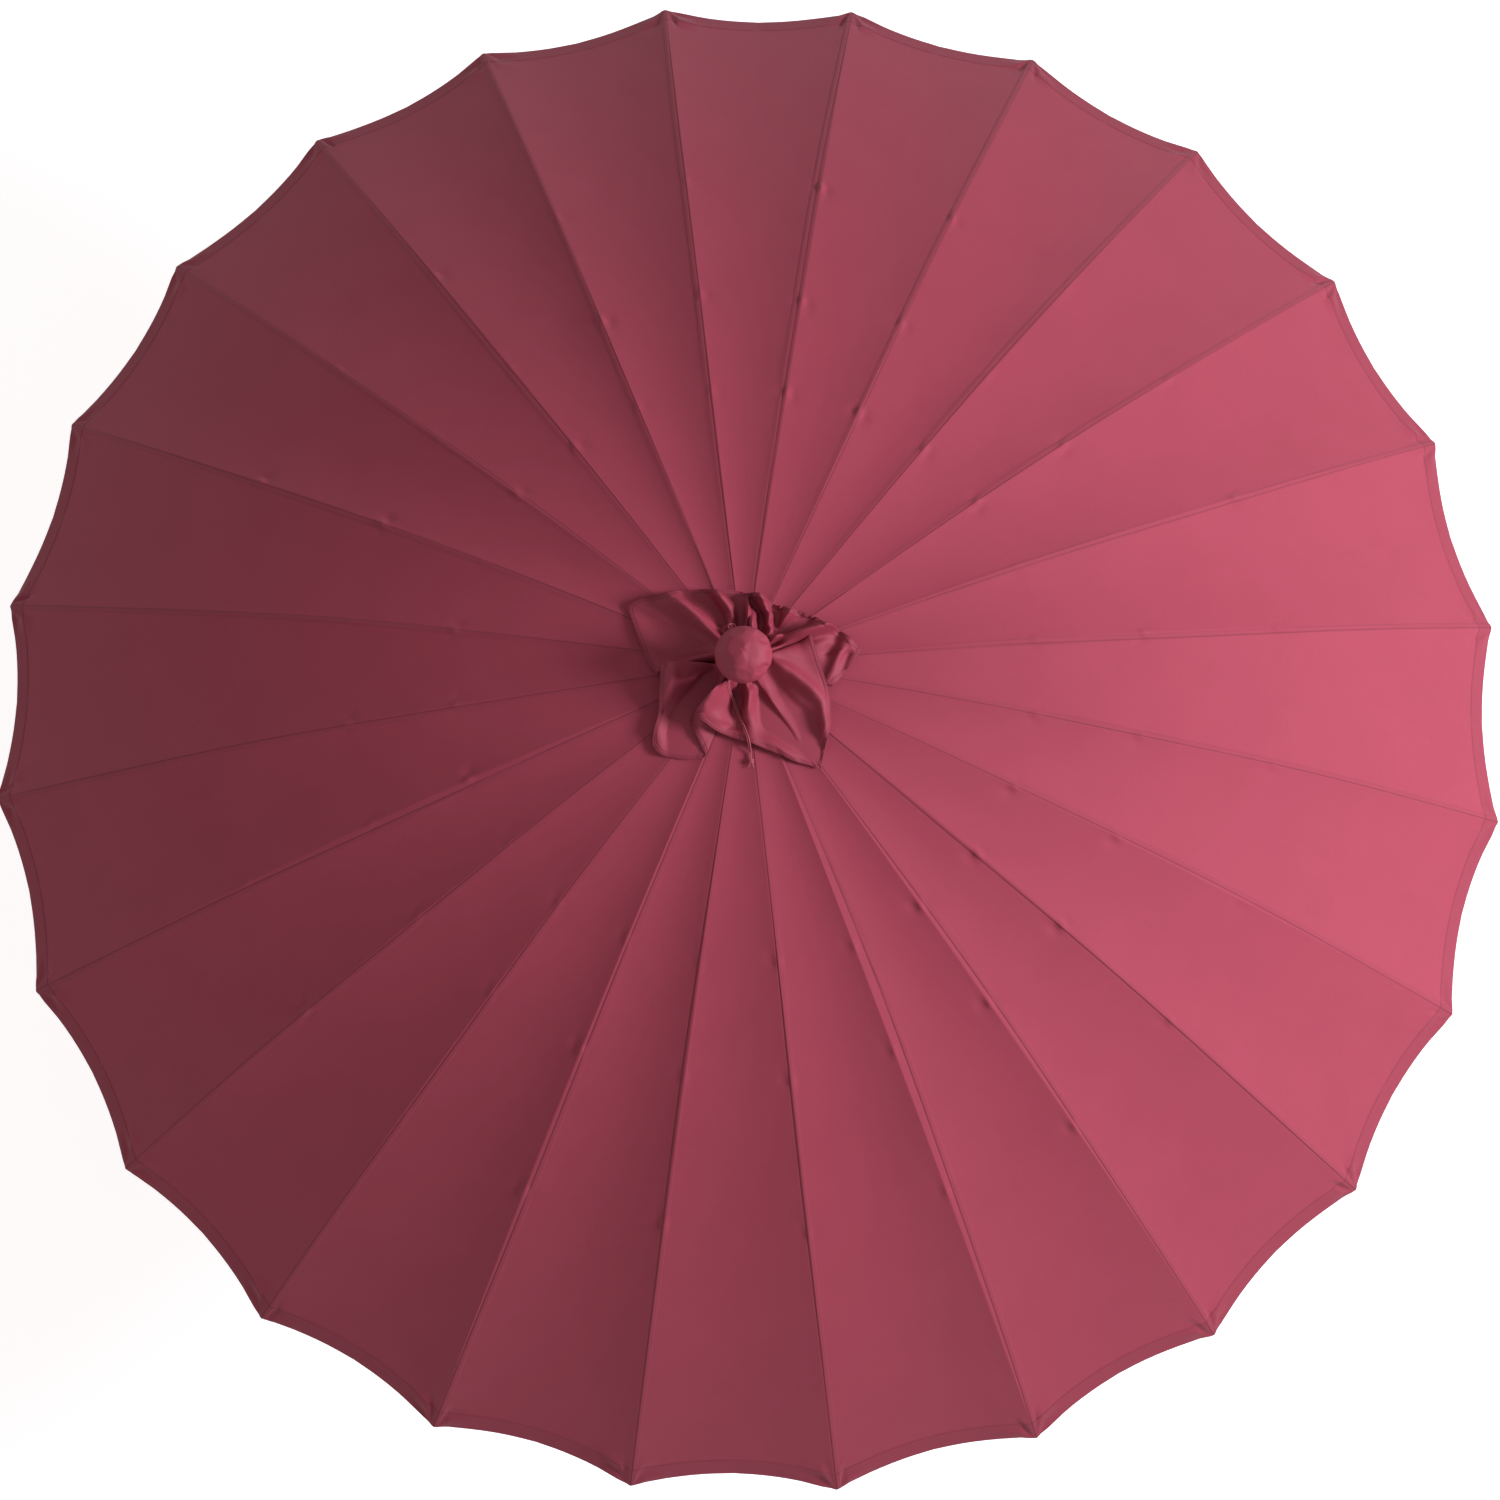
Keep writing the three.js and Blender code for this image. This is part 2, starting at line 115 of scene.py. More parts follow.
def make_camera():
    """The photograph's view, fitted to the rib ends and the finial."""
    back = Vector((
        math.sin(CAMERA_TILT) * math.sin(CAMERA_TURN),
        -math.sin(CAMERA_TILT) * math.cos(CAMERA_TURN),
        math.cos(CAMERA_TILT),
    ))
    data = bpy.data.cameras.new("camera")
    data.sensor_width = 36.0
    data.lens = 55.82
    data.shift_x = 0.00223
    data.shift_y = -0.0247
    data.clip_start, data.clip_end = 0.1, 150
    camera = bpy.data.objects.new("camera", data)
    bpy.context.scene.collection.objects.link(camera)
    camera.location = Vector((0, 0, RIM_Z)) + back * CAMERA_AWAY
    back.normalize()
    right = Vector((0, 1, 0)).cross(back).normalized()
    up = back.cross(right)
    rotation = np.array([right, up, back]).T
    camera.rotation_mode = "QUATERNION"
    camera.rotation_quaternion = Matrix(rotation.tolist()).to_quaternion()
    bpy.context.scene.camera = camera


def area_light(name, place, target, size, power, colour):
    data = bpy.data.lights.new(name, "AREA")
    data.shape = "DISK"
    data.size = size
    data.energy = power
    data.color = colour
    lamp = bpy.data.objects.new(name, data)
    bpy.context.scene.collection.objects.link(lamp)
    lamp.location = place
    lamp.rotation_euler = (Vector(target) - Vector(place)).to_track_quat("-Z", "Y").to_euler()


make_camera()
area_light("key", place=(3.85, -0.15, 4.6), target=(0, 0, 2.2), size=1.4, power=262,
           colour=(1.0, 0.97, 1.07))
world = bpy.data.worlds.new("studio")
world.use_nodes = True
background = world.node_tree.nodes["Background"]
background.inputs["Color"].default_value = (1.0, 0.98, 0.97, 1)
background.inputs["Strength"].default_value = 0.465
bpy.context.scene.world = world
bpy.context.scene.view_settings.view_transform = "Standard"

bpy.ops.mesh.primitive_plane_add(size=120, location=(0, 0, -0.001))
floor = bpy.context.object
floor.name = "floor"


# ---- materials
WHOLE = (1, 1, 1)  # texture scale: one unit is a metre


def new_material(name):
    material = bpy.data.materials.new(name)
    material.use_nodes = True
    tree = material.node_tree
    return material, tree, tree.nodes["Principled BSDF"]


def node(tree, kind, **inputs):
    """A new node; inputs are its sockets' names, with _ for a space, and their values."""
    made = tree.nodes.new(kind)
    for key, value in inputs.items():
        made.inputs[key.replace("_", " ")].default_value = value
    return made


def mapped(tree, vector, scale):
    mapping = tree.nodes.new("ShaderNodeMapping")
    mapping.inputs["Scale"].default_value = scale
    tree.links.new(vector, mapping.inputs["Vector"])
    return mapping.outputs["Vector"]


def object_coordinates(tree, scale):
    return mapped(tree, tree.nodes.new("ShaderNodeTexCoord").outputs["Object"], scale)


def attribute(tree, name, output="Fac"):
    made = tree.nodes.new("ShaderNodeAttribute")
    made.attribute_name = name
    return made.outputs[output]


def math_node(tree, operation, a, b):
    made = tree.nodes.new("ShaderNodeMath")
    made.operation = operation
    for socket, value in zip(made.inputs, (a, b)):
        if isinstance(value, (int, float)):
            socket.default_value = value
        else:
            tree.links.new(value, socket)
    return made.outputs[0]


def scaled(tree, value, share):
    return math_node(tree, "MULTIPLY", value, share)


def add_bump(tree, shader, height, strength, distance):
    bump = node(tree, "ShaderNodeBump", Strength=strength, Distance=distance)
    tree.links.new(height, bump.inputs["Height"])
    tree.links.new(bump.outputs["Normal"], shader.inputs["Normal"])


def mix_colour(tree, factor, a, b):
    made = tree.nodes.new("ShaderNodeMix")
    made.data_type = "RGBA"
    for socket, value in ((made.inputs[0], factor), (made.inputs[6], a), (made.inputs[7], b)):
        if isinstance(value, (int, float, tuple)):
            socket.default_value = value
        else:
            tree.links.new(value, socket)
    return made.outputs[2]


def cloth_coordinates(tree, scale):
    """Place on the flat cloth in metres, across and along the panel, times scale."""
    return mapped(tree, attribute(tree, "cloth", "Vector"), scale)


def weave_threads(tree, direction):
    """One set of threads of the weave."""
    threads = node(tree, "ShaderNodeTexWave", Scale=1.0, Distortion=0.6, Detail=1.0)
    threads.wave_type, threads.bands_direction = "BANDS", direction
    tree.links.new(cloth_coordinates(tree, (500, 500, 1)), threads.inputs["Vector"])
    return threads.outputs["Fac"]


def cloth_material(name, light, dark, shade, rough, sheen):
    """Woven cloth from dark to light; shade tints the doubled bands and the stitching, and paints
    the shade of the seams' grooves.
    """
    material, tree, shader = new_material(name)
    fine = node(tree, "ShaderNodeTexNoise", Scale=1.0, Detail=4.0, Roughness=0.75)
    tree.links.new(cloth_coordinates(tree, (60, 260, 1)), fine.inputs["Vector"])
    broad = node(tree, "ShaderNodeTexNoise", Scale=9.0, Detail=2.0, Roughness=0.5)
    tree.links.new(cloth_coordinates(tree, WHOLE), broad.inputs["Vector"])
    tone = math_node(tree, "ADD", scaled(tree, fine.outputs["Fac"], 0.55),
                     scaled(tree, broad.outputs["Fac"], 0.45))
    colour = mix_colour(tree, tone, dark, light)
    # the stitching mark darkens for the thread, and along the canopy's seams it also paints the
    # shade of the groove
    for mark, share in (("band", 0.16), ("stitch_and_groove_shade", 0.72)):
        colour = mix_colour(tree, scaled(tree, attribute(tree, mark), share), colour, shade)
    tree.links.new(colour, shader.inputs["Base Color"])
    shader.inputs["Roughness"].default_value = rough
    shader.inputs["Specular IOR Level"].default_value = 0.28
    shader.inputs["Sheen Weight"].default_value = sheen
    shader.inputs["Sheen Roughness"].default_value = 0.5
    weave = math_node(tree, "MULTIPLY", weave_threads(tree, "X"), weave_threads(tree, "Y"))
    height = math_node(tree, "ADD", weave, scaled(tree, fine.outputs["Fac"], 1.5))
    add_bump(tree, shader, height, strength=0.25, distance=0.0004)
    return material


def solid_material(name, colour, rough, metal=0.0, grain=900.0, strength=0.12, vary=0.12,
                   coat=0.0):
    """A plain material whose colour, roughness and bump vary with a fine grain."""
    material, tree, shader = new_material(name)
    noise = node(tree, "ShaderNodeTexNoise", Scale=grain, Detail=3.0, Roughness=0.6)
    tree.links.new(object_coordinates(tree, WHOLE), noise.inputs["Vector"])
    grained = noise.outputs["Fac"]
    upper = tuple(min(1.0, c * (1 + vary) + 0.004) for c in colour) + (1,)
    lower = tuple(c * (1 - vary) for c in colour) + (1,)
    tree.links.new(mix_colour(tree, grained, lower, upper), shader.inputs["Base Color"])
    spread = math_node(tree, "ADD", scaled(tree, grained, 0.16), rough - 0.08)
    tree.links.new(spread, shader.inputs["Roughness"])
    shader.inputs["Metallic"].default_value = metal
    shader.inputs["Coat Weight"].default_value = coat
    add_bump(tree, shader, grained, strength, distance=0.0003)
    return material


def wood_material(name):
    material, tree, shader = new_material(name)
    rings = node(tree, "ShaderNodeTexWave", Scale=60.0, Distortion=5.0, Detail=3.0)
    tree.links.new(object_coordinates(tree, (1, 1, 0.15)), rings.inputs["Vector"])
    grain = rings.outputs["Fac"]
    colour = mix_colour(tree, grain, (0.30, 0.15, 0.07, 1), (0.50, 0.30, 0.15, 1))
    tree.links.new(colour, shader.inputs["Base Color"])
    shader.inputs["Roughness"].default_value = 0.45
    add_bump(tree, shader, grain, strength=0.15, distance=0.0003)
    return material


def floor_material():
    material, tree, shader = new_material("floor_paper")
    noise = node(tree, "ShaderNodeTexNoise", Scale=3.0, Detail=2.0, Roughness=0.5)
    colour = mix_colour(tree, noise.outputs["Fac"], (0.90, 0.90, 0.90, 1), (0.93, 0.93, 0.93, 1))
    tree.links.new(colour, shader.inputs["Base Color"])
    shader.inputs["Roughness"].default_value = 0.9
    shader.inputs["Emission Color"].default_value = (1, 1, 1, 1)
    shader.inputs["Emission Strength"].default_value = 0.58
    return material


SHADE = (0.085, 0.010, 0.018, 1)
CANOPY = cloth_material("canopy_cloth", light=(0.306, 0.0385, 0.067, 1),
                        dark=(0.240, 0.0265, 0.049, 1), shade=SHADE, rough=0.78, sheen=0.10)
HOOD = cloth_material("hood_cloth", light=(0.285, 0.0355, 0.062, 1),
                      dark=(0.238, 0.027, 0.049, 1), shade=SHADE, rough=0.62, sheen=0.0)
CORD = solid_material("cord_fibre", (0.37, 0.068, 0.090), 0.75, grain=2400.0, strength=0.4)
THREAD = solid_material("thread", (0.16, 0.025, 0.04), 0.8, grain=3000.0)
ROD = solid_material("fibre_rod", (0.030, 0.030, 0.034), 0.42, grain=500.0, vary=0.25, coat=0.2)
STEEL = solid_material("stretcher_coat", (0.035, 0.035, 0.038), 0.45, metal=0.2, grain=1200.0)
POLE = solid_material("pole_coat", (0.055, 0.056, 0.060), 0.48, metal=0.35, grain=1500.0,
                      strength=0.2)
PLASTIC = solid_material("black_plastic", (0.020, 0.020, 0.022), 0.5, grain=1100.0, strength=0.2)
ZINC = solid_material("zinc_wire", (0.45, 0.46, 0.48), 0.32, metal=1.0, grain=700.0)
ROPE = solid_material("lift_rope", (0.055, 0.055, 0.06), 0.7, grain=2600.0, strength=0.4)
WOOD = wood_material("turned_wood")
floor.data.materials.append(floor_material())


# ---- building helpers
def make_piece(name, verts, faces, material, body=None):
    """A smooth mesh that rides body, if one is given."""
    mesh = bpy.data.meshes.new(name)
    mesh.from_pydata([tuple(v) for v in verts], [], [tuple(f) for f in faces])
    mesh.update()
    mesh.shade_smooth()
    obj = bpy.data.objects.new(name, mesh)
    bpy.context.scene.collection.objects.link(obj)
    mesh.materials.append(material)
    if body:
        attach(obj, body)
    return obj


def square_to(axis):
    """A direction square to axis, or nearly so."""
    side = np.cross(axis, (0, 0, 1))
    return side if np.linalg.norm(side) >= 0.1 else np.cross(axis, (1, 0, 0))


def around(side, up, angle):
    return math.cos(angle) * side + math.sin(angle) * up


def tube(points, radius, sides=10, closed=False):
    """Vertices and faces of a tube along points; its ends are capped unless it is a ring."""
    points = np.asarray(points, float)
    count = len(points)
    if closed:
        tangents = np.roll(points, -1, 0) - np.roll(points, 1, 0)
    else:
        tangents = np.gradient(points, axis=0)
    tangents /= np.linalg.norm(tangents, axis=1)[:, None]
    side = square_to(tangents[0])
    verts = []
    for p, t in zip(points, tangents):
        side = side - t * (side @ t)
        side /= np.linalg.norm(side)
        up = np.cross(t, side)
        for j in range(sides):
            verts.append(p + radius * around(side, up, 2 * math.pi * j / sides))
    faces = []
    for i in range(count if closed else count - 1):
        n = (i + 1) % count
        for j in range(sides):
            m = (j + 1) % sides
            faces.append((i * sides + j, i * sides + m, n * sides + m, n * sides + j))
    if not closed:
        faces.append(tuple(range(sides))[::-1])
        faces.append(tuple((count - 1) * sides + j for j in range(sides)))
    return verts, faces


def merge(parts):
    """Joins (vertices, faces) pairs into one."""
    verts, faces = [], []
    for v, f in parts:
        base = len(verts)
        verts.extend(v)
        faces.extend([tuple(i + base for i in face) for face in f])
    return verts, faces


def revolve(profile, centre, axis, sides=20):
    """A solid of revolution: profile is (radius, along axis), with both ends on the axis."""
    centre = np.asarray(centre, float)
    axis = np.asarray(axis, float) / np.linalg.norm(axis)
    side = square_to(axis)
    side /= np.linalg.norm(side)
    up = np.cross(axis, side)
    verts = [centre + axis * profile[0][1]]
    for r, h in profile[1:-1]:
        for j in range(sides):
            verts.append(centre + axis * h + r * around(side, up, 2 * math.pi * j / sides))
    verts.append(centre + axis * profile[-1][1])
    faces = []
    rows = len(profile) - 2
    for j in range(sides):
        m = (j + 1) % sides
        faces.append((0, 1 + m, 1 + j))
        for i in range(rows - 1):
            a = 1 + i * sides
            faces.append((a + j, a + m, a + sides + m, a + sides + j))
        last = 1 + (rows - 1) * sides
        faces.append((last + j, last + m, len(verts) - 1))
    return verts, faces


def turn(points, angle):
    """The points turned round the pole's axis."""
    c, s = math.cos(angle), math.sin(angle)
    x, y, z = np.asarray(points, float).reshape(-1, 3).T
    return np.stack([x * c - y * s, x * s + y * c, z], 1)


def catmull_rom(a, b, c, d, s):
    """The point at share s of the way from b to c, on the smooth curve through all four."""
    line = 2 * b + (c - a) * s
    return 0.5 * (line + (2 * a - 5 * b + 4 * c - d) * s * s + (3 * b - a - 3 * c + d) * s ** 3)


def smooth_curve(points, per_span):
    p = np.asarray(points, float)
    p = np.vstack([2 * p[0] - p[1], p, 2 * p[-1] - p[-2]])
    out = []
    for i in range(1, len(p) - 2):
        for s in np.linspace(0, 1, per_span, endpoint=False):
            out.append(catmull_rom(*p[i - 1:i + 3], s))
    out.append(p[-2])
    return np.array(out)


def steps_length(points):
    """Length of each step along a line of points."""
    return np.linalg.norm(np.diff(points, axis=0), axis=1)


def run_along(steps):
    """Distance from the start to each point, from the lengths of the steps."""
    return np.concatenate([[0], np.cumsum(steps)])


# ---- canopy cloth
# the cloth over a rib in four lengths:
# name, start and end as shares of the canopy's radius, and the share of its width kept when folded
CANOPY_RINGS = (
    ("top", 0.0, 0.25, 0.70),
    ("upper", 0.25, 0.56, 0.36),
    ("lower", 0.56, 0.78, 0.19),
    ("rim", 0.78, 1.0, 0.10),
)
# how each panel and seam differs from the next, seen in the photograph or drawn at random
panel_sag = 1 + 0.16 * rng.standard_normal(RIBS)
panel_lean = 0.10 * rng.standard_normal(RIBS)
seam_shift = 0.0015 + 0.004 * rng.standard_normal(RIBS)
seam_shift[[11, 10, 17]] = (0.013, 0.006, 0.009)
tie_size = 0.15 + 0.85 * rng.random((RIBS, 3)) ** 1.5
tip_phase = rng.random(RIBS) * 6.28
tip_crease = 0.0048 * rng.random((RIBS, 2)) ** 1.3


def panel_surface(k, r, share):
    """Points of the panel counter-clockwise of rib k, in that rib's frame.

    share is 0 at that rib and 1 at its neighbour, and r is the radius along the ribs.
    """
    bow = 4 * share * (1 - share)
    q = r / R
    inner = r - SCALLOP * bow * q ** 7
    qi = inner / R
    lean = 1 + panel_lean[k % RIBS] * (2 * share - 1)
    sag = SAG * panel_sag[k % RIBS] * bow * lean * (1.15 * qi - 0.45 * qi ** 4)
    this_rib = np.array([1.0, 0.0])
    next_rib = np.array([math.cos(STEP), math.sin(STEP)])
    along = this_rib * (1 - share)[..., None] + next_rib * share[..., None]
    z = dome(inner) - sag
    return np.concatenate([inner[..., None] * along, z[..., None]], -1)


def strip_points(k, rows, offsets):
    """Cloth over rib k, in its own frame: x outward, y counter-clockwise."""
    r = rows[:, None] * np.ones_like(offsets)
    share = np.clip(np.abs(offsets) / (r * math.sin(STEP)), 0, 0.5)
    ahead = panel_surface(k, r, share)
    behind = turn(panel_surface(k + 1, r, 1 - share), -STEP).reshape(ahead.shape)
    return np.where((offsets >= 0)[..., None], ahead, behind)


def seam_line(k, r):
    """How far the seam runs beside rib k."""
    q = r / R
    return seam_shift[k] * np.sin(np.pi * q) + 0.0016 * np.sin(9 * q + k) * np.sin(np.pi * q)


FELL = 0.0075  # from the seam to the felled layer's second stitch line
EDGE = 0.001  # half the width over which a doubled layer begins


def relief(k, r, y):
    """Height of seam, ties, tip creases and hem over the bare cloth, the stitching marks, which
    also paint shade into the seam's groove, and the band marks.

    r is the radius along the rib, and y the offset from the rib.
    """
    s = y - seam_line(k, r)
    fade = smooth(r, 0.05, 0.16)
    outward = smooth(r, 0.15, 0.60)
    # the felled layer beside the seam, and the groove of the seam itself
    rise = 0.0005 * (smooth(s, -0.0006, 0.0006) - smooth(s, 0.0072, 0.0086)) * outward
    rise -= 0.0006 * peak(s, 0.0012) * fade
    # at each tie the rib shows as a small peak, with the cloth pulled in on both sides
    for i, place in enumerate(TIES):
        d = r - place - 0.006 * math.sin(3.1 * k + i)
        size = tie_size[k, i]
        rise += 0.0034 * size * peak(d, 0.009, y, 0.006)
        rise -= 0.003 * size * peak(d + 0.004, 0.014, y + 0.012, 0.008)
        rise -= 0.0016 * size * peak(d - 0.004, 0.012, y - 0.011, 0.007)
    # wrinkles that fan out from the rib's tip, and a crease and a ridge on each side of the rib
    back = R - r
    away = np.hypot(back, y)
    fan = np.arctan2(y, back + 0.004)
    rise += (0.0022 * peak(away - 0.034, 0.019) * np.sin(7.5 * fan + tip_phase[k])
             * smooth(np.abs(fan), 0.12, 0.5))
    for side in (-1, 1):
        depth = tip_crease[k, (side + 1) // 2]
        across = side * y - 0.0085 - 0.25 * back
        rise -= depth * peak(back - 0.024, 0.013, across, 0.0042)
        rise += 0.7 * depth * peak(back - 0.026, 0.014, across - 0.0078, 0.004)
    hem = smooth(HEM - back, -EDGE, EDGE)
    rise += 0.0006 * hem
    # the seam's dark line: stitching thread, and painted shade in the seam's groove
    stitch_and_groove_shade = 0.75 * peak(s, 0.0009) * fade
    stitch_and_groove_shade = np.maximum(stitch_and_groove_shade, 0.20 * peak(s - FELL, 0.0008) * outward)
    stitch_and_groove_shade = np.maximum(stitch_and_groove_shade, 0.45 * peak(back - HEM, 0.001))
    band = np.maximum(hem, 0.5 * (smooth(s, 0, 0.001) - smooth(s, 0.007, 0.008)) * fade)
    return rise, stitch_and_groove_shade, band


def strip_rows():
    """Radii of the rows of a band's mesh: even, and closer at the ties and at the hem."""
    rows = list(np.arange(CROWN_R, R - 0.06, 0.024))
    for place in TIES:
        rows += [place + d for d in (-0.016, -0.011, -0.007, -0.003, 0, 0.003, 0.007, 0.011, 0.016)]
    rows += list(np.arange(R - 0.066, R - 0.0285, 0.0055))
    rows += [R - HEM + d for d in (-0.002, -0.0008, 0, 0.0008, 0.002)]
    rows += list(np.linspace(R - HEM + 0.006, R - 0.0015, 5)) + [R]
    rows = np.array(sorted(rows))
    return rows[np.concatenate([[True], np.diff(rows) > 0.0006])]


def closed_sheet(top, normals, thick):
    """Closes a grid of points (rows, columns, 3) downward along its normals to a thin solid."""
    rows, cols = top.shape[:2]
    below = top - normals * thick
    verts = np.concatenate([top.reshape(-1, 3), below.reshape(-1, 3)])
    n = rows * cols
    at = np.arange(n).reshape(rows, cols)
    faces = []
    for i in range(rows - 1):
        for j in range(cols - 1):
            a, b, c, d = at[i, j], at[i + 1, j], at[i + 1, j + 1], at[i, j + 1]
            faces.append((a, b, c, d))
            faces.append((a + n, d + n, c + n, b + n))
    for j in range(cols - 1):
        faces.append((at[0, j], at[0, j + 1], at[0, j + 1] + n, at[0, j] + n))
        a, b = at[-1, j], at[-1, j + 1]
        faces.append((b, a, a + n, b + n))
    for i in range(rows - 1):
        a, b = at[i, 0], at[i + 1, 0]
        faces.append((b, a, a + n, b + n))
        a, b = at[i, -1], at[i + 1, -1]
        faces.append((a, b, b + n, a + n))
    return verts, faces


def grid_normals(points):
    du = np.gradient(points, axis=0)
    dv = np.gradient(points, axis=1)
    normal = np.cross(du, dv)
    normal /= np.maximum(np.linalg.norm(normal, axis=-1), 1e-12)[..., None]
    return normal


def set_marks(obj, stitch_and_groove_shade=0.0, band=0.0, cloth=None):
    """Stores the marks per vertex; cloth is its (across, along) place on the flat cloth."""
    count = len(obj.data.vertices)
    for name, values in (("stitch_and_groove_shade", stitch_and_groove_shade), ("band", band)):
        made = obj.data.attributes.new(name, "FLOAT", "POINT")
        made.data.foreach_set("value", np.broadcast_to(values, count).astype(np.float32))
    if cloth is None:
        cloth = [(v.co.x, v.co.y) for v in obj.data.vertices]
    flat = np.column_stack([np.asarray(cloth, np.float32), np.zeros(count)])
    made = obj.data.attributes.new("cloth", "FLOAT_VECTOR", "POINT")
    made.data.foreach_set("vector", flat.astype(np.float32).ravel())


NEAR = np.array([0, 0.0015, 0.003, 0.005, 0.008, 0.012, 0.017, 0.024])  # columns by the rib, m
SEAM = np.array([-0.003, -0.0012, -0.0004, 0.0004, 0.0012, 0.003, 0.0068, FELL, 0.0088])
OUTER = np.array([0.34, 0.46, 0.58, 0.70, 0.81, 0.91, 1.0])  # shares of the half width
FULL_WIDTH = 0.085  # half width from which the columns by the rib and the seam have full spacing


def strip_columns(k, rows):
    """Offsets of the columns from rib k in each row, out to half-way to its neighbours."""
    near = np.concatenate([-NEAR[:0:-1], NEAR])
    table = []
    for r in rows:
        width = r * math.sin(STEP) / 2
        scale = min(1.0, width / FULL_WIDTH)
        middle = np.concatenate([near * scale, (SEAM + seam_line(k, r)) * scale])
        middle = np.sort(np.clip(middle, -0.33 * width, 0.33 * width))
        middle += np.linspace(-1e-5, 1e-5, len(middle))
        table.append(np.concatenate([-OUTER[::-1] * width, middle, OUTER * width]))
    return np.array(table)


def border_normals(k, rows, border, side):
    """Normals on a border half-way between two ribs, the same for both bands that share it.

    side is the border's column, -1 counter-clockwise of rib k and 0 clockwise of it. The ribs'
    numbers rise clockwise.
    """
    sign, other = (1, k - 1) if side == -1 else (-1, k + 1)
    near = (rows * math.sin(STEP) / 2 - 1e-3)[:, None]
    inside = strip_points(k, rows, sign * near)[:, 0]
    beyond = turn(strip_points(other % RIBS, rows, -sign * near)[:, 0], sign * STEP)
    normals = np.cross(np.gradient(border, axis=0), (beyond - inside) * sign)
    return normals / np.linalg.norm(normals, axis=1)[:, None]


def canopy_strip(k):
    """The band of cloth over rib k, in its four lengths."""
    rows = strip_rows()
    offsets = strip_columns(k, rows)
    bare = strip_points(k, rows, offsets)
    r = rows[:, None] * np.ones_like(offsets)
    rise, stitch_and_groove_shade, band = relief(k, r, offsets)
    taper = smooth(r * math.sin(STEP) / 2 - np.abs(offsets), 0.0, 0.004)
    points = bare + grid_normals(bare) * (rise * taper)[..., None]
    shading = grid_normals(points)
    for side in (0, -1):
        shading[:, side] = border_normals(k, rows, points[:, side], side)
    angle = rib_angle(k)
    number = f"{k + 1:02d}"
    run = run_along(np.hypot(np.diff(rows), np.diff(dome(rows))))
    # each band lies elsewhere on the flat cloth, so that its weave differs
    place = np.stack([offsets + 3.1 * k, run[:, None] * np.ones_like(offsets)], -1)
    for name, start, end, keep in CANOPY_RINGS:
        first, last = (int(np.argmin(np.abs(rows - share * R))) for share in (start, end))
        part = slice(first, last + 1)
        verts, faces = closed_sheet(points[part], shading[part], CLOTH_T)
        obj = make_piece(f"canopy_{name}_{number}", turn(verts, angle), faces, CANOPY,
                         f"rib_{number}_body")
        normals = turn(shading[part], angle)
        both_sides = np.concatenate([normals, -normals])
        obj.data.normals_split_custom_set_from_vertices([tuple(n) for n in both_sides])
        # the underside repeats the top's marks, its stitching and painted groove shade fainter
        marks = stitch_and_groove_shade[part].ravel()
        set_marks(obj, np.concatenate([marks, 0.4 * marks]), np.tile(band[part].ravel(), 2),
                  np.tile(place[part].reshape(-1, 2), (2, 1)))
        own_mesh(obj)


for k in range(RIBS):
    canopy_strip(k)


def canopy_crown():
    """The round sheet over the hub, inside the bands."""
    rows = np.linspace(0.0105, CROWN_R, 9)
    angles = np.arange(RIBS * 6) * (STEP / 6) + rib_angle(0)
    grid = np.zeros((len(rows), len(angles) + 1, 3))
    for j, a in enumerate(np.append(angles, angles[0])):
        share = ((a - rib_angle(0)) % STEP) / STEP
        local = panel_surface(0, rows, np.full_like(rows, share))
        grid[:, j] = turn(local, a - math.atan2(local[0, 1], local[0, 0]))
    verts, faces = closed_sheet(grid, grid_normals(grid), CLOTH_T)
    obj = make_piece("canopy_crown", verts, faces, CANOPY, "upper_pole_body")
    # the last column lies on the first, so the ring is closed by joining them
    joined = bmesh.new()
    joined.from_mesh(obj.data)
    bmesh.ops.remove_doubles(joined, verts=joined.verts, dist=1e-6)
    joined.to_mesh(obj.data)
    joined.free()
    set_marks(obj)
    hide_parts("canopy")


canopy_crown()

# ---- hood over the finial
NECK_Z = APEX_Z + 0.039
NECK_R = 0.014
BALL_Z = finial_high.z - 0.0415
BALL_R = 0.0438
BALL_LOW = -1.12  # radians below the ball's middle, where its cover meets the neck
SKIRT_ROWS = 52
COVER_ROWS = 36
FOLD_DEPTH = 1.65  # times the heights in HOOD_FOLDS
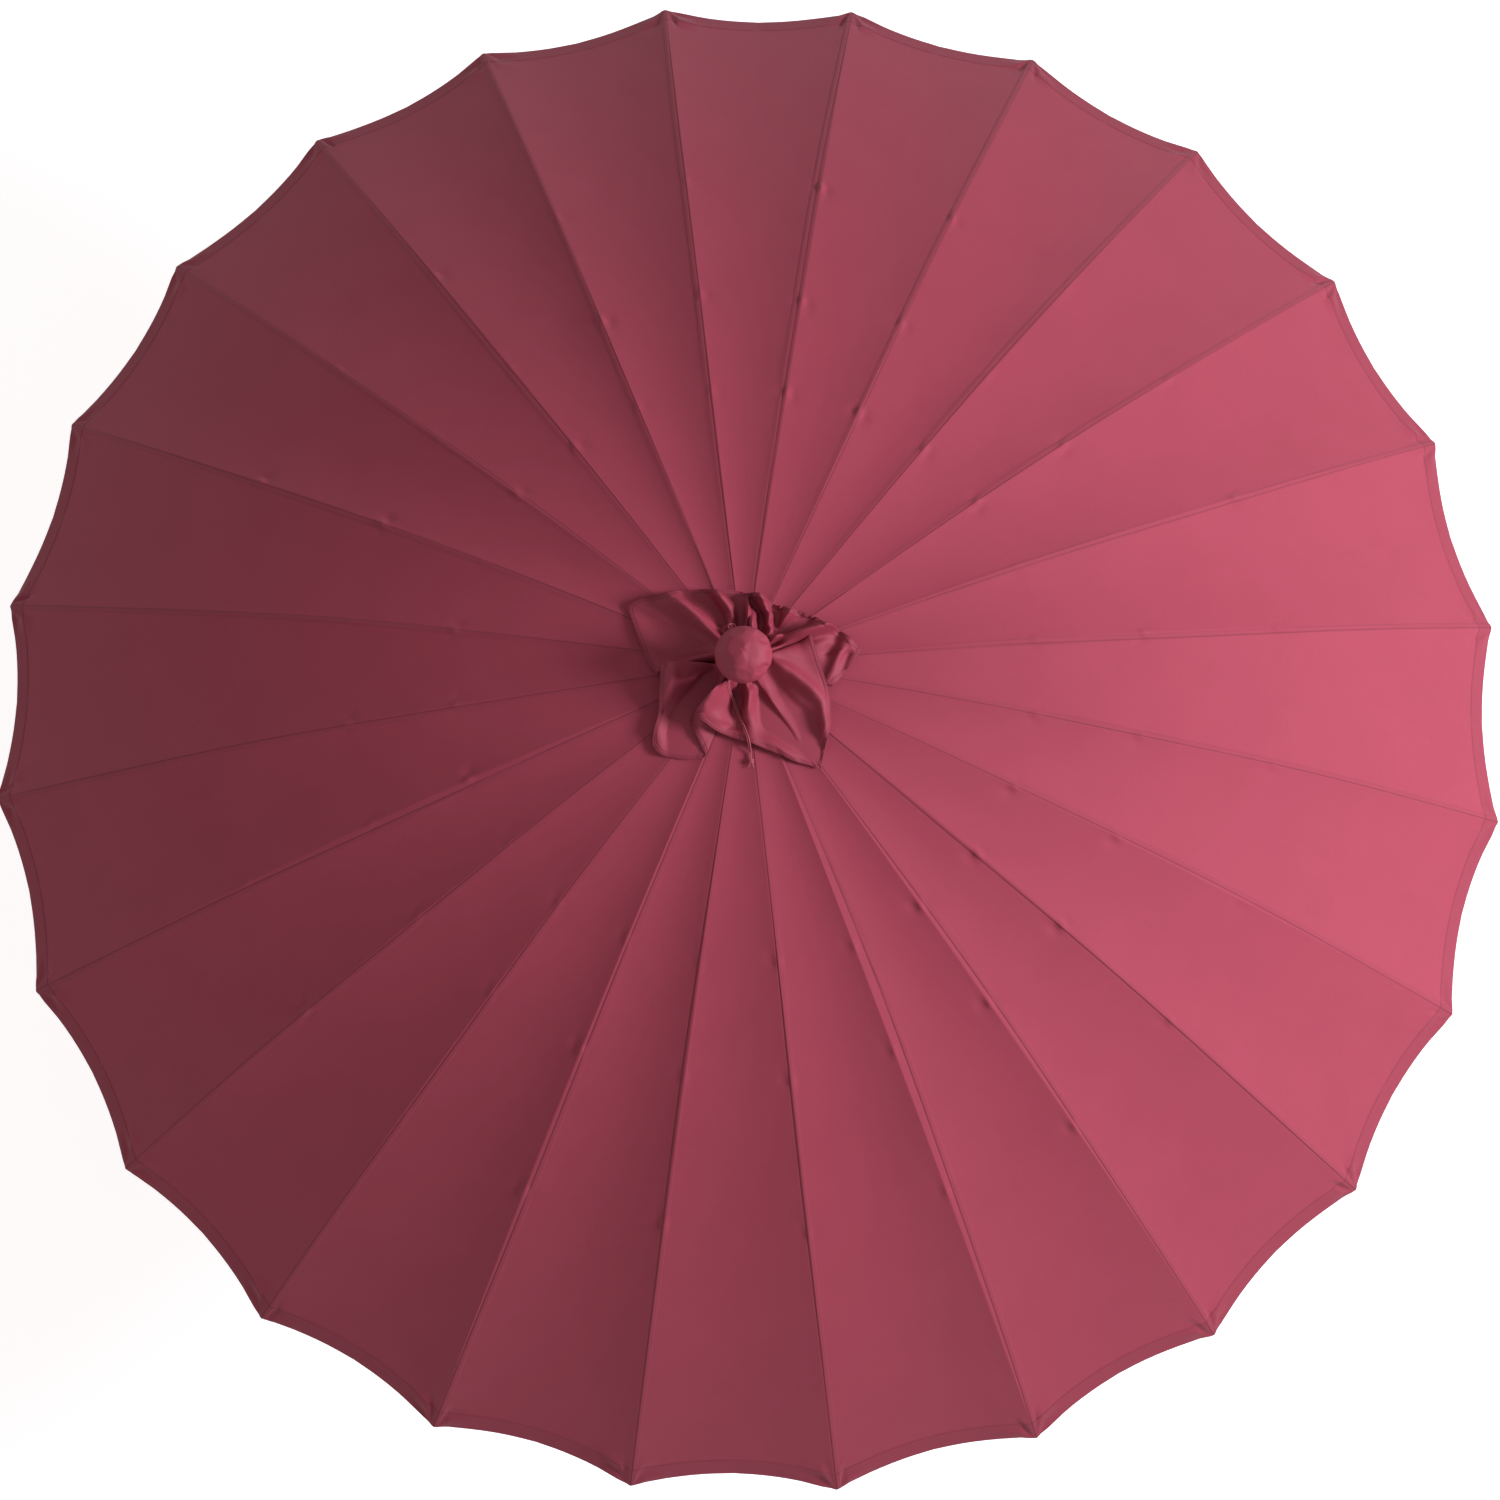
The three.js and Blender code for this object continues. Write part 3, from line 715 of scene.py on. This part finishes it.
# hem of the cloth, clockwise from its left corner: x, y, height over the canopy (mm), and how
# soon the fold that ends there dies away from the neck
HOOD_HEM = [
    (-184, 94, 4, 3.2), (-179, 100, 6, 3.0), (-167, 106, 8, 3.0), (-147, 108, 9, 2.6),
    (-124, 110, 20, 1.15), (-112, 115, 15, 1.6), (-103, 119, 8, 3.0), (-89, 121, 5, 4.5),
    (-71, 122, 5, 4.5), (-57, 121, 9, 3.0), (-46, 118, 19, 1.5), (-34, 119, 10, 2.6),
    (-19, 120, 5, 4.5), (-5, 118, 7, 4.0), (8, 113, 18, 1.5), (14, 113, 8, 4.0), (25, 106, 26, 1.2),
    (37, 102, 12, 2.4), (46, 98, 6, 4.0), (54, 94, 11, 2.2), (63, 94, 6, 4.0), (75, 86, 12, 2.2),
    (87, 86, 6, 4.0), (103, 79, 12, 2.4), (113, 77, 6, 4.0), (124, 68, 14, 2.0), (135, 59, 26, 1.1),
    (150, 56, 7, 2.0), (166, 44, 13, 1.8), (181, 28, 8, 2.4), (185, 23, 7, 2.4), (181, 17, 7, 2.6),
    (163, -7, 5, 3.4), (137, -35, 3.5, 5.0), (121, -4, 3.2, 5.5), (107, 23, 3.5, 5.0),
    (105, 44, 26, 1.1), (114, 18, 20, 1.5), (120, -2, 16, 1.8), (132, -38, 12, 2.0),
    (136, -69, 10, 2.0), (136, -97, 15, 1.5), (130, -124, 14, 1.8), (122, -157, 6, 2.4),
    (121, -164, 5, 2.6), (115, -163, 5, 3.0), (105, -160, 4, 4.0), (81, -154, 4, 5.0),
    (57, -143, 5, 5.0), (32, -134, 9, 3.2), (14, -127, 14, 2.0), (-1, -122, 9, 3.4),
    (-19, -116, 6, 4.6), (-34, -111, 11, 2.6), (-49, -104, 24, 1.4), (-67, -92, 36, 1.1),
    (-86, -88, 40, 1.0), (-76, -109, 20, 1.6), (-67, -128, 8, 2.6), (-60, -145, 4, 4.0),
    (-70, -148, 3, 6.5), (-91, -150, 3.5, 7.0), (-113, -147, 3.5, 7.0), (-131, -142, 4.5, 5.0),
    (-143, -127, 6, 3.6), (-141, -105, 10, 2.6), (-134, -79, 16, 2.0), (-132, -48, 24, 1.4),
    (-131, -25, 29, 1.15), (-130, -3, 29, 1.05), (-137, -14, 10, 3.5), (-145, -3, 4, 5.5),
    (-151, 3, 4.5, 5.0), (-160, 25, 5, 4.4), (-168, 46, 5.5, 4.0), (-177, 72, 5, 3.6),
]
# ridges (+) and hollows (-) of the hood: points along the fold, height and half width, all in mm
HOOD_FOLDS = [
    ([(-29, 50), (-46, 62), (-70, 78), (-95, 94), (-118, 106)], 13, 9),
    ([(-30, 66), (-45, 85), (-62, 102), (-90, 114)], -20, 9),
    ([(-14, 67), (-19, 85), (-29, 99), (-43, 111)], 14, 7.5),
    ([(-41, 59), (-46, 73)], -4, 5),
    ([(-4, 63), (-4, 88), (-7, 113)], -14, 6.5),
    ([(12, 52), (9, 73), (7, 90)], 16, 5.5),
    ([(4, 114), (19, 98), (26, 76), (27, 54)], -16, 5),
    ([(13, 111), (29, 100), (40, 77), (42, 51)], 17, 7),
    ([(46, 95), (53, 74), (50, 53)], -13, 6),
    ([(78, 86), (64, 68), (52, 50)], 10, 5.5),
    ([(101, 73), (81, 64), (58, 46)], -12, 7),
    ([(43, 38), (72, 45), (105, 52), (141, 59)], 19, 5.5),
    ([(46, 24), (72, 28), (96, 34)], -8, 8),
    ([(150, 49), (143, 33), (131, 19)], -8, 6),
    ([(169, 37), (150, 12), (140, -22)], 8, 7),
    ([(166, 24), (157, 4), (153, -16)], -8, 5),
    ([(49, -3), (75, -17), (102, -38), (126, -60)], 16, 8),
    ([(39, -24), (61, -48), (86, -77), (106, -106), (114, -136)], -17, 14),
    ([(123, -70), (127, -91), (125, -112)], 7, 7),
    ([(16, -37), (11, -56), (0, -82)], 12, 8),
    ([(27, -40), (31, -68), (36, -96)], -7, 8),
    ([(35, -120), (56, -132), (77, -148)], 4, 7),
    ([(-36, -36), (-52, -60), (-70, -82)], 25, 8.5),
    ([(-21, -38), (-10, -62), (-10, -86)], -12, 7),
    ([(-46, -89), (-31, -91)], 4, 8),
    ([(-28, -100), (-16, -99), (-2, -94)], -5, 4),
    ([(-46, -10), (-66, -38), (-84, -66), (-97, -98), (-97, -134)], -34, 15),
    ([(-40, 12), (-76, 6), (-106, -1), (-126, -8)], 16, 9),
    ([(-108, -16), (-120, -48)], 11, 11),
    ([(-132, -79), (-121, -71), (-109, -60)], -5, 5),
    ([(-136, -101), (-130, -128)], 3, 9),
]
# creases of the cloth over the ball: two ends (x, y) seen from above, as shares of its radius,
# height (mm) and width (share of the radius)
BALL_CREASES = [
    ((0.30, 0.80), (0.80, 0.48), 2.6, 0.09), ((0.40, 0.60), (0.93, 0.26), -2.4, 0.06),
    ((0.90, 0.05), (0.70, 0.58), 2.0, 0.07), ((0.40, -0.60), (0.90, -0.28), 2.2, 0.07),
    ((0.46, -0.76), (0.93, -0.40), -2.2, 0.06), ((-0.60, -0.50), (0.15, -0.70), 1.8, 0.08),
    ((-0.55, -0.70), (0.20, -0.88), -1.8, 0.08), ((0.24, 0.20), (0.14, -0.56), -0.8, 0.06),
]
# flat places of that cover: outward directions
BALL_FACETS = [
    (0.62, 0.50, 0.60), (0.93, -0.05, 0.36), (0.66, -0.58, 0.48), (0.06, -0.76, 0.65),
    (-0.56, -0.44, 0.70), (-0.80, 0.22, 0.56), (-0.22, 0.74, 0.64), (0.28, -0.08, 0.96),
    (-0.25, 0.12, 0.96),
]


def fold_distance(x, y, points):
    """Distance of each (x, y) from the line through points, and its share along that line."""
    points = np.asarray(points, float)
    lengths = steps_length(points)
    run = run_along(lengths) / lengths.sum()
    best, share = np.full(np.shape(x), 9.0), np.zeros(np.shape(x))
    for i in range(len(lengths)):
        (ax, ay), (bx, by) = points[i], points[i + 1]
        t = np.clip(((x - ax) * (bx - ax) + (y - ay) * (by - ay)) / lengths[i] ** 2, 0, 1)
        d = np.hypot(x - ax - t * (bx - ax), y - ay - t * (by - ay))
        share = np.where(d < best, run[i] + t * (run[i + 1] - run[i]), share)
        best = np.minimum(best, d)
    return best, share


def fold_height(x, y):
    """Height that the folds add at each (x, y)."""
    total = np.zeros(np.shape(x))
    for points, height, width in HOOD_FOLDS:
        d, share = fold_distance(x, y, np.array(points) / 1000)
        ends = smooth(share, -0.25, 0.22) * smooth(1 - share, -0.25, 0.22)
        profile = np.exp(-np.abs(d / (width / 1000)) ** 1.7)
        total += FOLD_DEPTH * height / 1000 * profile * ends
    return total * smooth(np.hypot(x, y), 0.020, 0.050)


def falling(values, slack):
    """The closest never-rising sequence, by pooling, with a little slope so that it falls."""
    blocks = []
    for v in values:
        blocks.append([v, 1])
        while len(blocks) > 1 and blocks[-2][0] < blocks[-1][0]:
            b, a = blocks.pop(), blocks.pop()
            count = a[1] + b[1]
            blocks.append([(a[0] * a[1] + b[0] * b[1]) / count, count])
    level = np.concatenate([[v] * n for v, n in blocks])
    line = np.linspace(level[0], level[0] - 2 * math.pi * (1 - 1 / len(level)), len(level))
    return level * (1 - slack) + line * slack


def hood_spokes(per=4):
    """Lines from the neck to the hem: the hem's x, y, height, power, and angle at the neck."""
    hem = np.array(HOOD_HEM, float)
    hem[:, :3] /= 1000
    angles = np.unwrap(np.arctan2(hem[:, 1], hem[:, 0]))
    ring = np.column_stack([hem, falling(angles, 0.25)])
    count = len(ring)
    out = []
    for i in range(count):
        a, b, c, d = (ring[(i + o) % count].copy() for o in (-1, 0, 1, 2))
        # the angle at the neck goes on falling past the end of the list
        if i == 0:
            a[4] += 2 * math.pi
        if i >= count - 2:
            d[4] -= 2 * math.pi
        if i == count - 1:
            c[4] -= 2 * math.pi
        for s in np.linspace(0, 1, per, endpoint=False):
            out.append(catmull_rom(a, b, c, d, s))
    return np.array(out)


def skirt_shares(length):
    """Shares of each spoke's length at which the skirt's rows lie, the last ones on the hem."""
    inner = np.concatenate([np.linspace(0, 0.12, 5)[:-1], np.linspace(0.12, 1, SKIRT_ROWS - 8)])
    return ([u * (1 - 0.009 / length) for u in inner]
            + [1 - back / length for back in (0.0072, 0.0064, 0.004, 0.0)])


def hem_gather(hem_xy):
    """How strongly the hem ruffles at each spoke, most along its upper right side."""
    angle = np.arctan2(hem_xy[:, 1], hem_xy[:, 0])
    gather = 0.0006 + 0.0016 * smooth(angle, 0.25, 0.55) * smooth(-angle, -1.75, -1.45)
    return gather + 0.0007 * smooth(-angle, 0.9, 1.2) * smooth(angle, -2.2, -1.9)


def skirt_rows(spokes):
    """Rows of the hood's skirt, from the neck to the hem."""
    hem_xy, neck = spokes[:, :2], spokes[:, 4]
    lift = np.maximum(spokes[:, 2], 0.0028)
    power = np.clip(spokes[:, 3], 1, 7)
    ridge = np.clip((2.6 - power) / 1.6, -1, 1)
    neck_r = NECK_R + 0.0014 * ridge
    neck_xy = np.stack([np.cos(neck), np.sin(neck)], 1) * neck_r[:, None]
    length = np.linalg.norm(hem_xy - neck_xy, axis=1)
    along = run_along(steps_length(hem_xy))
    ruffle = 1 + np.sin(2 * math.pi * along / 0.0094 + 1.1 * np.sin(along / 0.021))
    gather = hem_gather(hem_xy)
    lifts = np.zeros((SKIRT_ROWS, len(spokes)))
    flat = np.zeros((SKIRT_ROWS, len(spokes), 2))
    for i, t in enumerate(skirt_shares(length)):
        xy = neck_xy + (hem_xy - neck_xy) * t[:, None]
        base = lift * (0.35 + 0.65 * t)
        neck_rise = NECK_Z - dome(np.hypot(xy[:, 0], xy[:, 1]))
        rise = base + (neck_rise - base) * (1 - t) ** power
        rise += 0.004 * ridge * np.sin(math.pi * np.minimum(1, t * 1.1)) * (t > 0)
        rise += gather * smooth(t, 0.78, 1.0) * ruffle
        rise += 0.001 * np.sin(9 * neck + 14 * t) * np.sin(math.pi * t)
        lifts[i], flat[i] = rise, xy
    lifts += fold_height(flat[..., 0], flat[..., 1])
    for _ in range(2):
        mean = (np.roll(lifts, 1, 1) + np.roll(lifts, -1, 1)) / 2
        lifts[2:-4] += 0.5 * (mean - lifts)[2:-4]
        lifts[3:-5] += 0.4 * ((lifts[2:-6] + lifts[4:-4]) / 2 - lifts[3:-5])
    # the hem's stitch line
    lifts[-4:] += np.array([0.0, -0.0004, 0.0003, 0.0])[:, None]
    ground = dome(np.hypot(flat[..., 0], flat[..., 1]))
    lifts[0] = NECK_Z - ground[0]
    lifts = np.maximum(lifts, 0.0024)
    return np.concatenate([flat, (ground + lifts)[..., None]], -1)


def cover_row(a, neck):
    """A row of the cloth over the ball, at the angle a above its middle."""
    count = len(neck)
    even = neck[0] - np.arange(count) * 2 * math.pi / count
    low = 1 - smooth(a, -1.0, 0.15)
    spread = neck + (even - neck) * smooth(a, -1.05, -0.5)
    radius = BALL_R + 0.0004 + 0.0016 * low * np.sin(11 * spread + 0.8 * np.sin(2 * spread))
    x, y = math.cos(a) * np.cos(spread), math.cos(a) * np.sin(spread)
    for out in BALL_FACETS:
        facing = (x * out[0] + y * out[1] + math.sin(a) * out[2]) / math.hypot(*out)
        radius = np.minimum(radius, 0.0421 / np.maximum(facing, 0.5))
    for start, end, depth, width in BALL_CREASES:
        d, share = fold_distance(x, y, [start, end])
        ends = smooth(share, -0.3, 0.35) * smooth(1 - share, -0.3, 0.35)
        crease = np.exp(-np.abs(d / width) ** 1.5) * ends * smooth(a, -0.6, 0.0)
        radius = radius + depth / 1000 * crease
    radius = np.maximum(radius, 0.042)
    # drawn in from the ball to the neck
    pinch = smooth(a, BALL_LOW, -0.55)
    neck_z = NECK_Z + 0.004 + 0.012 * (a - BALL_LOW) / 0.57
    neck_r = 0.0135 + 0.001 * np.sin(11 * spread)
    z = (BALL_Z + radius * math.sin(a)) * pinch + neck_z * (1 - pinch)
    r = radius * math.cos(a) * pinch + neck_r * (1 - pinch)
    return np.column_stack([r * np.cos(spread), r * np.sin(spread), z])


def build_hood():
    """The hood as one sheet; also returns the hem's line and the count of points in a row."""
    spokes = hood_spokes()
    n = len(spokes)
    skirt = skirt_rows(spokes)
    heights = np.linspace(BALL_LOW, math.pi / 2, COVER_ROWS + 1)[:-1]
    grid = np.array([*skirt[::-1], *(cover_row(a, spokes[:, 4]) for a in heights)])
    rows = len(grid)
    verts = list(grid.reshape(-1, 3))
    verts.append(np.array([0, 0, BALL_Z + BALL_R - 0.0012]))
    faces = []
    for i in range(rows - 1):
        for j in range(n):
            m = (j + 1) % n
            faces.append((i * n + j, (i + 1) * n + j, (i + 1) * n + m, i * n + m))
    for j in range(n):
        faces.append(((rows - 1) * n + j, len(verts) - 1, (rows - 1) * n + (j + 1) % n))
    stitch_and_groove_shade = np.zeros(len(verts))
    band = np.zeros(len(verts))
    band[:3 * n] = 1.0
    stitch_and_groove_shade[2 * n:3 * n] = 0.4
    obj = make_piece("hood_cloth", verts, faces, HOOD, "upper_pole_body")
    set_marks(obj, stitch_and_groove_shade, band)
    thick = obj.modifiers.new("thickness", "SOLIDIFY")
    thick.thickness = 0.0007
    thick.offset = 0
    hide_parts("top_cap")
    return obj, grid[0], n


def hood_hem(line):
    """The hem's rolled edge."""
    verts, faces = tube(line + np.array([0, 0, 0.0001]), 0.0007, 8, closed=True)
    hem = make_piece("hood_hem", verts, faces, HOOD, "upper_pole_body")
    set_marks(hem)


hood, hem_line, hood_n = build_hood()
hood_hem(hem_line)

# ---- drawstring
STRING_R = 0.001
skirt = [p.vertices[:] for p in hood.data.polygons if max(p.vertices) < (SKIRT_ROWS - 1) * hood_n]
hood_tree = BVHTree.FromPolygons([v.co for v in hood.data.vertices], skirt)


def rest_height(x, y):
    """Height of the hood's skirt at (x, y), or of the canopy outside it."""
    hit = hood_tree.ray_cast(Vector((x, y, APEX_Z + 0.2)), Vector((0, 0, -1)))
    ground = dome(math.hypot(x, y))
    return max(ground, hit[0].z) if hit[0] is not None else ground


def laid(points, gap):
    """Lays a line of (x, y) gap over the hood, stretched straight over hollows between folds."""
    xy = smooth_curve(points, 8)
    z = np.array([rest_height(x, y) for x, y in xy]) + gap
    run = run_along(steps_length(xy))
    out = z.copy()
    for i in range(len(z)):
        for a in range(max(0, i - 6), i):
            for b in range(i + 1, min(len(z), i + 7)):
                s = (run[i] - run[a]) / (run[b] - run[a])
                out[i] = max(out[i], z[a] * (1 - s) + z[b] * s - 0.0004)
    return np.column_stack([xy, out])


def eased(points, spacing=0.0016, passes=14):
    """The line at even spacing, with its kinks eased to bends that a soft cord can take."""
    points = np.asarray(points, float)
    run = run_along(steps_length(points))
    keep = np.concatenate([[True], np.diff(run) > 1e-6])
    even = np.linspace(0, run[-1], int(run[-1] / spacing) + 1)
    line = np.column_stack([np.interp(even, run[keep], points[keep, axis]) for axis in range(3)])
    for _ in range(passes):
        line[1:-1] += 0.5 * ((line[:-2] + line[2:]) / 2 - line[1:-1])
    return line


# where the drawstring lies on the hood, (x, y): the tail's two strands, the knot and the bow
TAIL_A = [(-0.028, -0.031), (-0.0225, -0.048), (-0.016, -0.0635), (-0.010, -0.079),
          (-0.0045, -0.093), (0.001, -0.107), (0.0058, -0.121), (0.0085, -0.137),
          (0.0095, -0.1505)]
TAIL_B = [(-0.0262, -0.030), (-0.0205, -0.047), (-0.0136, -0.0626), (-0.0078, -0.0782),
          (-0.0022, -0.0922), (0.0033, -0.1062), (0.0081, -0.1203), (0.0109, -0.1368),
          (0.0118, -0.1505)]
KNOT_XY = (0.0112, -0.154)
BOW_XY = (-0.025, 0.0535)
BOW_LEAD = [(-0.0075, 0.0195), (-0.0105, 0.029), (-0.016, 0.039), (-0.0205, 0.0475)]


def string_piece(name, parts):
    verts, faces = merge(parts)
    piece = make_piece(name, verts, faces, CORD, "upper_pole_body")
    return piece


def first_strand():
    """Round the neck, then out from under the ball and down the tail."""
    ring = []
    for i in range(40):
        a = math.radians(262 - 318 * i / 39)
        ring.append((0.0172 * math.cos(a), 0.0172 * math.sin(a),
                     NECK_Z + 0.0018 + 0.0008 * math.sin(i * 0.5)))
    ring = np.array(ring)
    tail = laid(TAIL_A, 0.0026)
    turn_off = [[-0.0035, -0.0205, NECK_Z + 0.001], [-0.015, -0.0245, NECK_Z - 0.0006]]
    join = smooth_curve(np.vstack([ring[-1], turn_off, tail[2]]), 8)
    return eased(np.vstack([ring, join[1:-1], tail[2:]]))


def second_strand():
    tail = laid(TAIL_B, 0.0027)
    join = [[0.001, -0.0205, NECK_Z + 0.0042], [-0.0125, -0.0228, NECK_Z + 0.0036], tail[2]]
    return eased(np.vstack([smooth_curve(join, 8)[:-1], tail[2:]]))


def knot_parts():
    """Three coils side by side, and two short ends."""
    x, y = KNOT_XY
    centre = np.array([x, y, rest_height(x, y) + 0.0042])
    parts = []
    for i in range(3):
        coil = [centre + np.array([0.0034 * math.cos(a), (i - 1) * 0.0023 + 0.0004 * math.sin(a),
                                   0.0026 * math.sin(a)])
                for a in np.linspace(0, 2 * math.pi, 14, endpoint=False)]
        parts.append(tube(coil, 0.0011, 8, closed=True))
    for side in (-1, 1):
        end = [centre + np.array(place) for place in (
            (side * 0.001, -0.001, 0), (side * 0.0024, -0.005, -0.001),
            (side * 0.0036, -0.0075, -0.002), (side * 0.0042, -0.0095, -0.0022))]
        parts.append(tube(smooth_curve(end, 5), 0.0009, 8))
    return parts


def bow_parts():
    """Two loops, and the string that leads to them from the neck."""
    parts = []
    for dx, dy, wide, lean in ((0, 0, 0.0085, 0.4), (0.0065, 0.002, 0.006, -0.5)):
        loop = []
        for a in np.linspace(0, 2 * math.pi, 26, endpoint=False):
            u, v = wide * math.cos(a), 0.0058 * math.sin(a)
            x = BOW_XY[0] + dx + u * math.cos(lean) - v * math.sin(lean)
            y = BOW_XY[1] + dy + u * math.sin(lean) + v * math.cos(lean)
            over = 0.003 + 0.0016 * (1 + math.sin(a)) + (0.002 if dx else 0)
            loop.append((x, y, rest_height(x, y) + over))
        loop = np.array(loop)
        loop[:, 2] = np.maximum(loop[:, 2], np.median(loop[:, 2]))
        parts.append(tube(loop, STRING_R * 0.92, 8, closed=True))
    parts.append(tube(laid(BOW_LEAD, 0.003), STRING_R * 0.92, 8))
    return parts


def drawstring():
    path = first_strand()
    second_path = second_strand()
    first = string_piece("drawstring_loop", [tube(path, STRING_R, 10)])
    second = string_piece("drawstring_tail", [tube(second_path, STRING_R, 10)])
    knot = string_piece("drawstring_knot", knot_parts())
    bow = string_piece("drawstring_bow", bow_parts())
    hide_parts("cap_cord")


drawstring()


# ---- lift cord, small fittings
def lift_cord():
    across = 0.0215
    top, foot = hub_low.z - 0.0005, runner_high.z + 0.002
    line = np.array([(-across, 0, z) for z in np.linspace(top, foot, 30)])
    verts, faces = tube(line, 0.0015, 10)
    obj = make_piece("lift_cord", verts, faces, ROPE)
    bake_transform(obj)
    profile = [(0, -0.004), (0.0032, -0.004), (0.0042, -0.001), (0.0042, 0.0035), (0.003, 0.005),
               (0, 0.005)]
    verts, faces = revolve(profile, (-across - 0.0012, 0, runner_high.z + 0.0005), (0, 0, 1), 16)
    make_piece("cord_lug", verts, faces, PLASTIC, "runner_body")


lift_cord()


TIP_R = 1.343  # radius of the rib's end
RIB_UNDER = 0.0056  # from the cloth down to the rib's middle


def rib_z(r):
    """Height of a rib's middle at radius r."""
    slope = (dome(r + 0.001) - dome(r - 0.001)) / 0.002
    return dome(r) - RIB_UNDER * math.hypot(1, slope)


def rib_direction(start, end):
    slope = (rib_z(end) - rib_z(start)) / (end - start)
    return np.array([1, 0, slope]) / math.hypot(1, slope)


def tie_loops():
    """Two turns of thread round the rib at each tie."""
    loops = []
    for place in TIES:
        along = rib_direction(place - 0.005, place + 0.005)
        up = np.array([-along[2], 0, along[0]])
        middle = np.array([place, 0, rib_z(place)])
        for shift in (-0.0016, 0.0016):
            ring = []
            for a in np.linspace(0, 2 * math.pi, 16, endpoint=False):
                reach = 0.0033 + 0.001 * max(0, math.sin(a))
                ring.append(middle + along * shift + np.array([0, 0.0033 * math.cos(a), 0])
                            + up * reach * math.sin(a))
            loops.append(tube(ring, 0.0008, 6, closed=True))
    return loops


def rib_fittings(k):
    """Tip cap, the thread that ties the cloth to the rib, and the stretcher's rivet heads."""
    angle = rib_angle(k)
    number = f"{k + 1:02d}"
    tip = np.array([TIP_R, 0, rib_z(TIP_R)])
    profile = [(0, -0.024), (0.0031, -0.024), (0.0036, -0.012), (0.004, 0.002),
               (0.0036, 0.0044), (0.0022, 0.006), (0, 0.0062)]
    cap = revolve(profile, tip, rib_direction(1.30, TIP_R), 14)
    pivot = turn([joints[f"stretcher_{number}_pivot"]["pos_m"]], -angle)[0]
    heads = [
        revolve([(0, -0.001), (0.003, -0.001), (0.003, 0.0002), (0.0022, 0.0012), (0, 0.0015)],
                (pivot[0], 0.0098, pivot[2]), (0, 1, 0), 14),
        revolve([(0, -0.0002), (0.0026, -0.0002), (0.0026, 0.0004), (0.0018, 0.0012), (0, 0.0014)],
                (pivot[0], -0.0019, pivot[2]), (0, -1, 0), 14),
    ]
    for name, parts, material in (("rib_tip", [cap], PLASTIC), ("rib_ties", tie_loops(), THREAD),
                                  ("rib_rivet", heads, ZINC)):
        verts, faces = merge(parts)
        make_piece(f"{name}_{number}", turn(verts, angle), faces, material, f"rib_{number}_body")


for k in range(RIBS):
    rib_fittings(k)


def screws():
    """Four screws in the crank housing's back, and the nut on the crank's axle."""
    profile = [(0, -0.001), (0.0036, -0.001), (0.0036, 0.0006), (0.0028, 0.0016),
               (0.0012, 0.0019), (0.001, 0.0008), (0, 0.0008)]
    verts, faces = merge([
        revolve(profile, (house_low.x, y, house_middle + z), (-1, 0, 0), 16)
        for y in (-0.015, 0.015) for z in (-0.030, 0.030)
    ])
    make_piece("housing_screws", verts, faces, ZINC, "upper_pole_body")
    profile = [(0, 0.0), (0.0055, 0.0), (0.0055, 0.003), (0.0035, 0.0045), (0, 0.0048)]
    verts, faces = revolve(profile, (house_high.x + 0.0118, 0, house_middle), (1, 0, 0), 6)
    make_piece("crank_nut", verts, faces, ZINC, "crank_body")


screws()

# ---- carried-over CAD nodes
FINISH = {
    "foot_plug": PLASTIC, "lower_pole": POLE, "upper_pole": POLE, "crank_housing": PLASTIC,
    "crank_arm": POLE, "crank_knob": PLASTIC, "runner": PLASTIC, "top_hub": PLASTIC,
    "finial": WOOD,
}
for k in range(RIBS):
    FINISH[f"rib_{k + 1:02d}"] = ROD
    FINISH[f"stretcher_{k + 1:02d}"] = STEEL
for name, material in FINISH.items():
    piece = frame["nodes"][name]
    piece.data.materials.clear()
    piece.data.materials.append(material)
    piece.data.shade_smooth()
    sharp = 62 if name.startswith(("rib", "stretcher")) else 34
    piece.data.set_sharp_from_angle(angle=math.radians(sharp))
